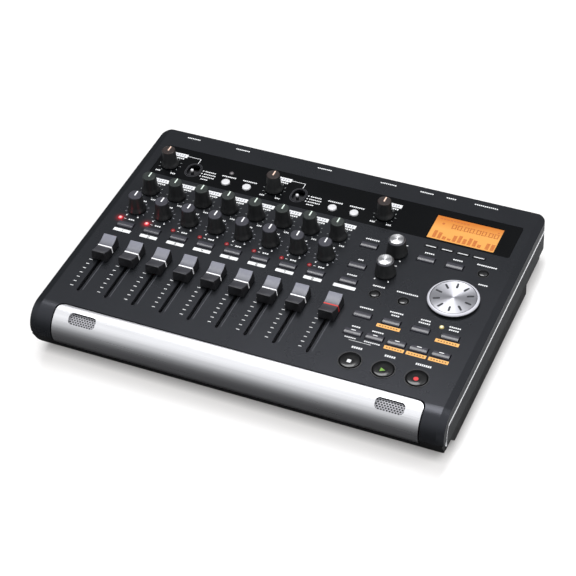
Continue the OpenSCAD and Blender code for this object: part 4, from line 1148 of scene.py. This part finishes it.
# Plates under the arm keys, each as its width, depth and corner. The master's has no number
NUMBER_PLATE = (12.8, 2.9, 0.4)
MASTER_PLATE = (15.6, 3, 0.5)
MASTER_PLATE_SHIFT = -0.6
NUMBER_W, NUMBER_D, NUMBER_STROKE = 1.0, 1.8, 0.35
plates = Piece()
for i, x in zip(CHANNELS, CHANNEL_X):
    ink(plates, rounded(x, NUMBER_Y, *NUMBER_PLATE))
    left, near = x - NUMBER_W / 2, NUMBER_Y - NUMBER_D / 2
    digit(plates, str(i), left, near, NUMBER_W, NUMBER_D, NUMBER_STROKE, INK, INK_OVER, 1)
ink(plates, rounded(MASTER_X + MASTER_PLATE_SHIFT, NUMBER_Y, *MASTER_PLATE))
plates.place("number_plates", "case", [print_white, print_dark], "case_plastic")

# Orange labels under some of the locate and wind keys
LOCATE_LABEL_W, LOCATE_LABEL_SHIFT, LOCATE_LABEL_DOWN = 16, -0.4, 4.7
WIND_LABEL_W, WIND_LABEL_DOWN = 13.4, 5
ORANGE_D = 3
labels = Piece()
for x in (COLUMN_X[1], COLUMN_X[3]):
    label_y = LOCATE_Y - LOCATE_LABEL_DOWN
    label(labels, x + LOCATE_LABEL_SHIFT, label_y, LOCATE_LABEL_W, ORANGE_D)
for x in WIND_X[2:]:
    label(labels, x, WIND_Y - WIND_LABEL_DOWN, WIND_LABEL_W, ORANGE_D)
labels.place("orange_labels", "case", [print_orange, print_brown], "case_plastic")

# Stage: floor, light and camera. Its sizes and places are in metres

FLOOR_W = 12
SHADE_REACH = 0.008
FLOOR_SHINE = 0.28
# Glow of the floor to the camera in front of the part and to its right; the stronger glow to the
# right paints out the shadow there.
FRONT_GLOW = [0.54, 0.527, 0.518, 1]
RIGHT_GLOW = [0.9, 0.9, 0.9, 1]


def studio_floor():
    """Pale floor with a faint shine, whiter to the camera, with painted shadow in its glow, and
    painted dark in the shine of the part.
    """
    paint = Paint("studio_floor", Emission_Strength=1.0)
    seen, glossy = paint.light_path("Is Camera Ray"), paint.light_path("Is Glossy Ray")
    x, y, _ = paint.axes()
    cloud = paint.noise(blotch=400)
    # Painted shadow: the glow to the camera is scaled by how open the sky is, darkening the floor
    # round the part.
    inputs = [("Distance", SHADE_REACH)]
    open_sky = paint.add("ShaderNodeAmbientOcclusion", inputs, output="AO", samples=8)
    beside = (x - HALF_W).band(-2, 6).math("MAXIMUM", (y - FRONT).band(60, 140))
    pale = paint.mix(cloud, grey(232), grey(238))
    # Painted reflection: in the shine of the part the floor is dark in front and grey beside.
    shone = paint.mix(beside, srgb(30, 30, 32), grey(150))
    white = paint.mix(cloud, grey(188), grey(193))
    paint.set("Base Color", paint.mix(seen, paint.mix(glossy, pale, shone), white))
    paint.rough(cloud, level=0.14, spread=0.04)
    paint.set("Metallic", seen * FLOOR_SHINE)
    # Painted light and shade: the glow is stronger to the right of the part, which hides its shadow
    # there, and weaker elsewhere, where its shadow shows.
    lit = paint.mix((x - HALF_W).band(0, 8), FRONT_GLOW, RIGHT_GLOW)
    paint.set("Emission Color", paint.mix(seen * open_sky, BLACK, lit))
    return paint.material


floor_mesh = bpy.data.meshes.new("floor")
floor_mesh.from_pydata(at_height(rect(0, 0, FLOOR_W, FLOOR_W), 0), [], [(0, 1, 2, 3)])
floor_mesh.materials.append(studio_floor())
floor = bpy.data.objects.new("floor", floor_mesh)
bpy.context.scene.collection.objects.link(floor)


def softbox(name, place, side, power):
    """A square light at place that faces the part."""
    light = bpy.data.lights.new(name, "AREA")
    light.size = side
    light.energy = power
    obj = bpy.data.objects.new(name, light)
    obj.location = place
    obj.rotation_euler = (-Vector(place)).to_track_quat("-Z", "Y").to_euler()
    bpy.context.scene.collection.objects.link(obj)


softbox("key_light", place=(-0.25, 0.3, 1.27), side=0.7, power=11)
softbox("side_light", place=(1.0, 0.1, 0.95), side=0.6, power=4)


class Sky(Paint):
    """The light that comes from all round."""

    def __init__(self, name):
        self.world = bpy.data.worlds.new(name)
        self.world.use_nodes = True
        self.tree = self.world.node_tree
        self.shader = self.tree.nodes["Background"]

    def direction(self):
        """The direction that is looked in, as three coordinates from -1 to 1."""
        return self.split(self.add("ShaderNodeTexCoord", output="Generated"))


LOW_SKY = [0.12, 0.125, 0.13, 1]
RIGHT_SKY = [0.95, 0.95, 0.95, 1]
HIGH_SKY = [1.24, 1.25, 1.28, 1]
sky = Sky("studio")
to_right, to_rear, upward = sky.direction()
ahead, behind = upward.band(-0.15, 0.8), upward.band(0.63, 0.88)
overhead = ahead + (behind - ahead) * to_rear.band(-0.2, 0.4)
low = sky.mix(to_right.band(0.55, 0.8), LOW_SKY, RIGHT_SKY)
sky.set("Color", sky.mix(overhead, low, HIGH_SKY))
bpy.context.scene.world = sky.world
bpy.context.scene.view_settings.view_transform = "Standard"

CAMERA_PLACE = (0.4008, -0.81285, 0.8592)
CAMERA_RIGHT = Vector((0.91550427, 0.39852843, -0.05501836))
CAMERA_DOWN = Vector((0.23549049, -0.64173397, -0.7298779))
CAMERA_AHEAD = Vector((-0.32618425, 0.65525003, -0.68135984))
SENSOR_MM, LENS_MM = 36, 114.18
camera_data = bpy.data.cameras.new("camera")
camera_data.sensor_width = SENSOR_MM
camera_data.lens = LENS_MM
camera = bpy.data.objects.new("camera", camera_data)
turn = Matrix((CAMERA_RIGHT, -CAMERA_DOWN, -CAMERA_AHEAD)).transposed().to_4x4()
camera.matrix_world = Matrix.Translation(CAMERA_PLACE) @ turn
bpy.context.scene.collection.objects.link(camera)
bpy.context.scene.camera = camera
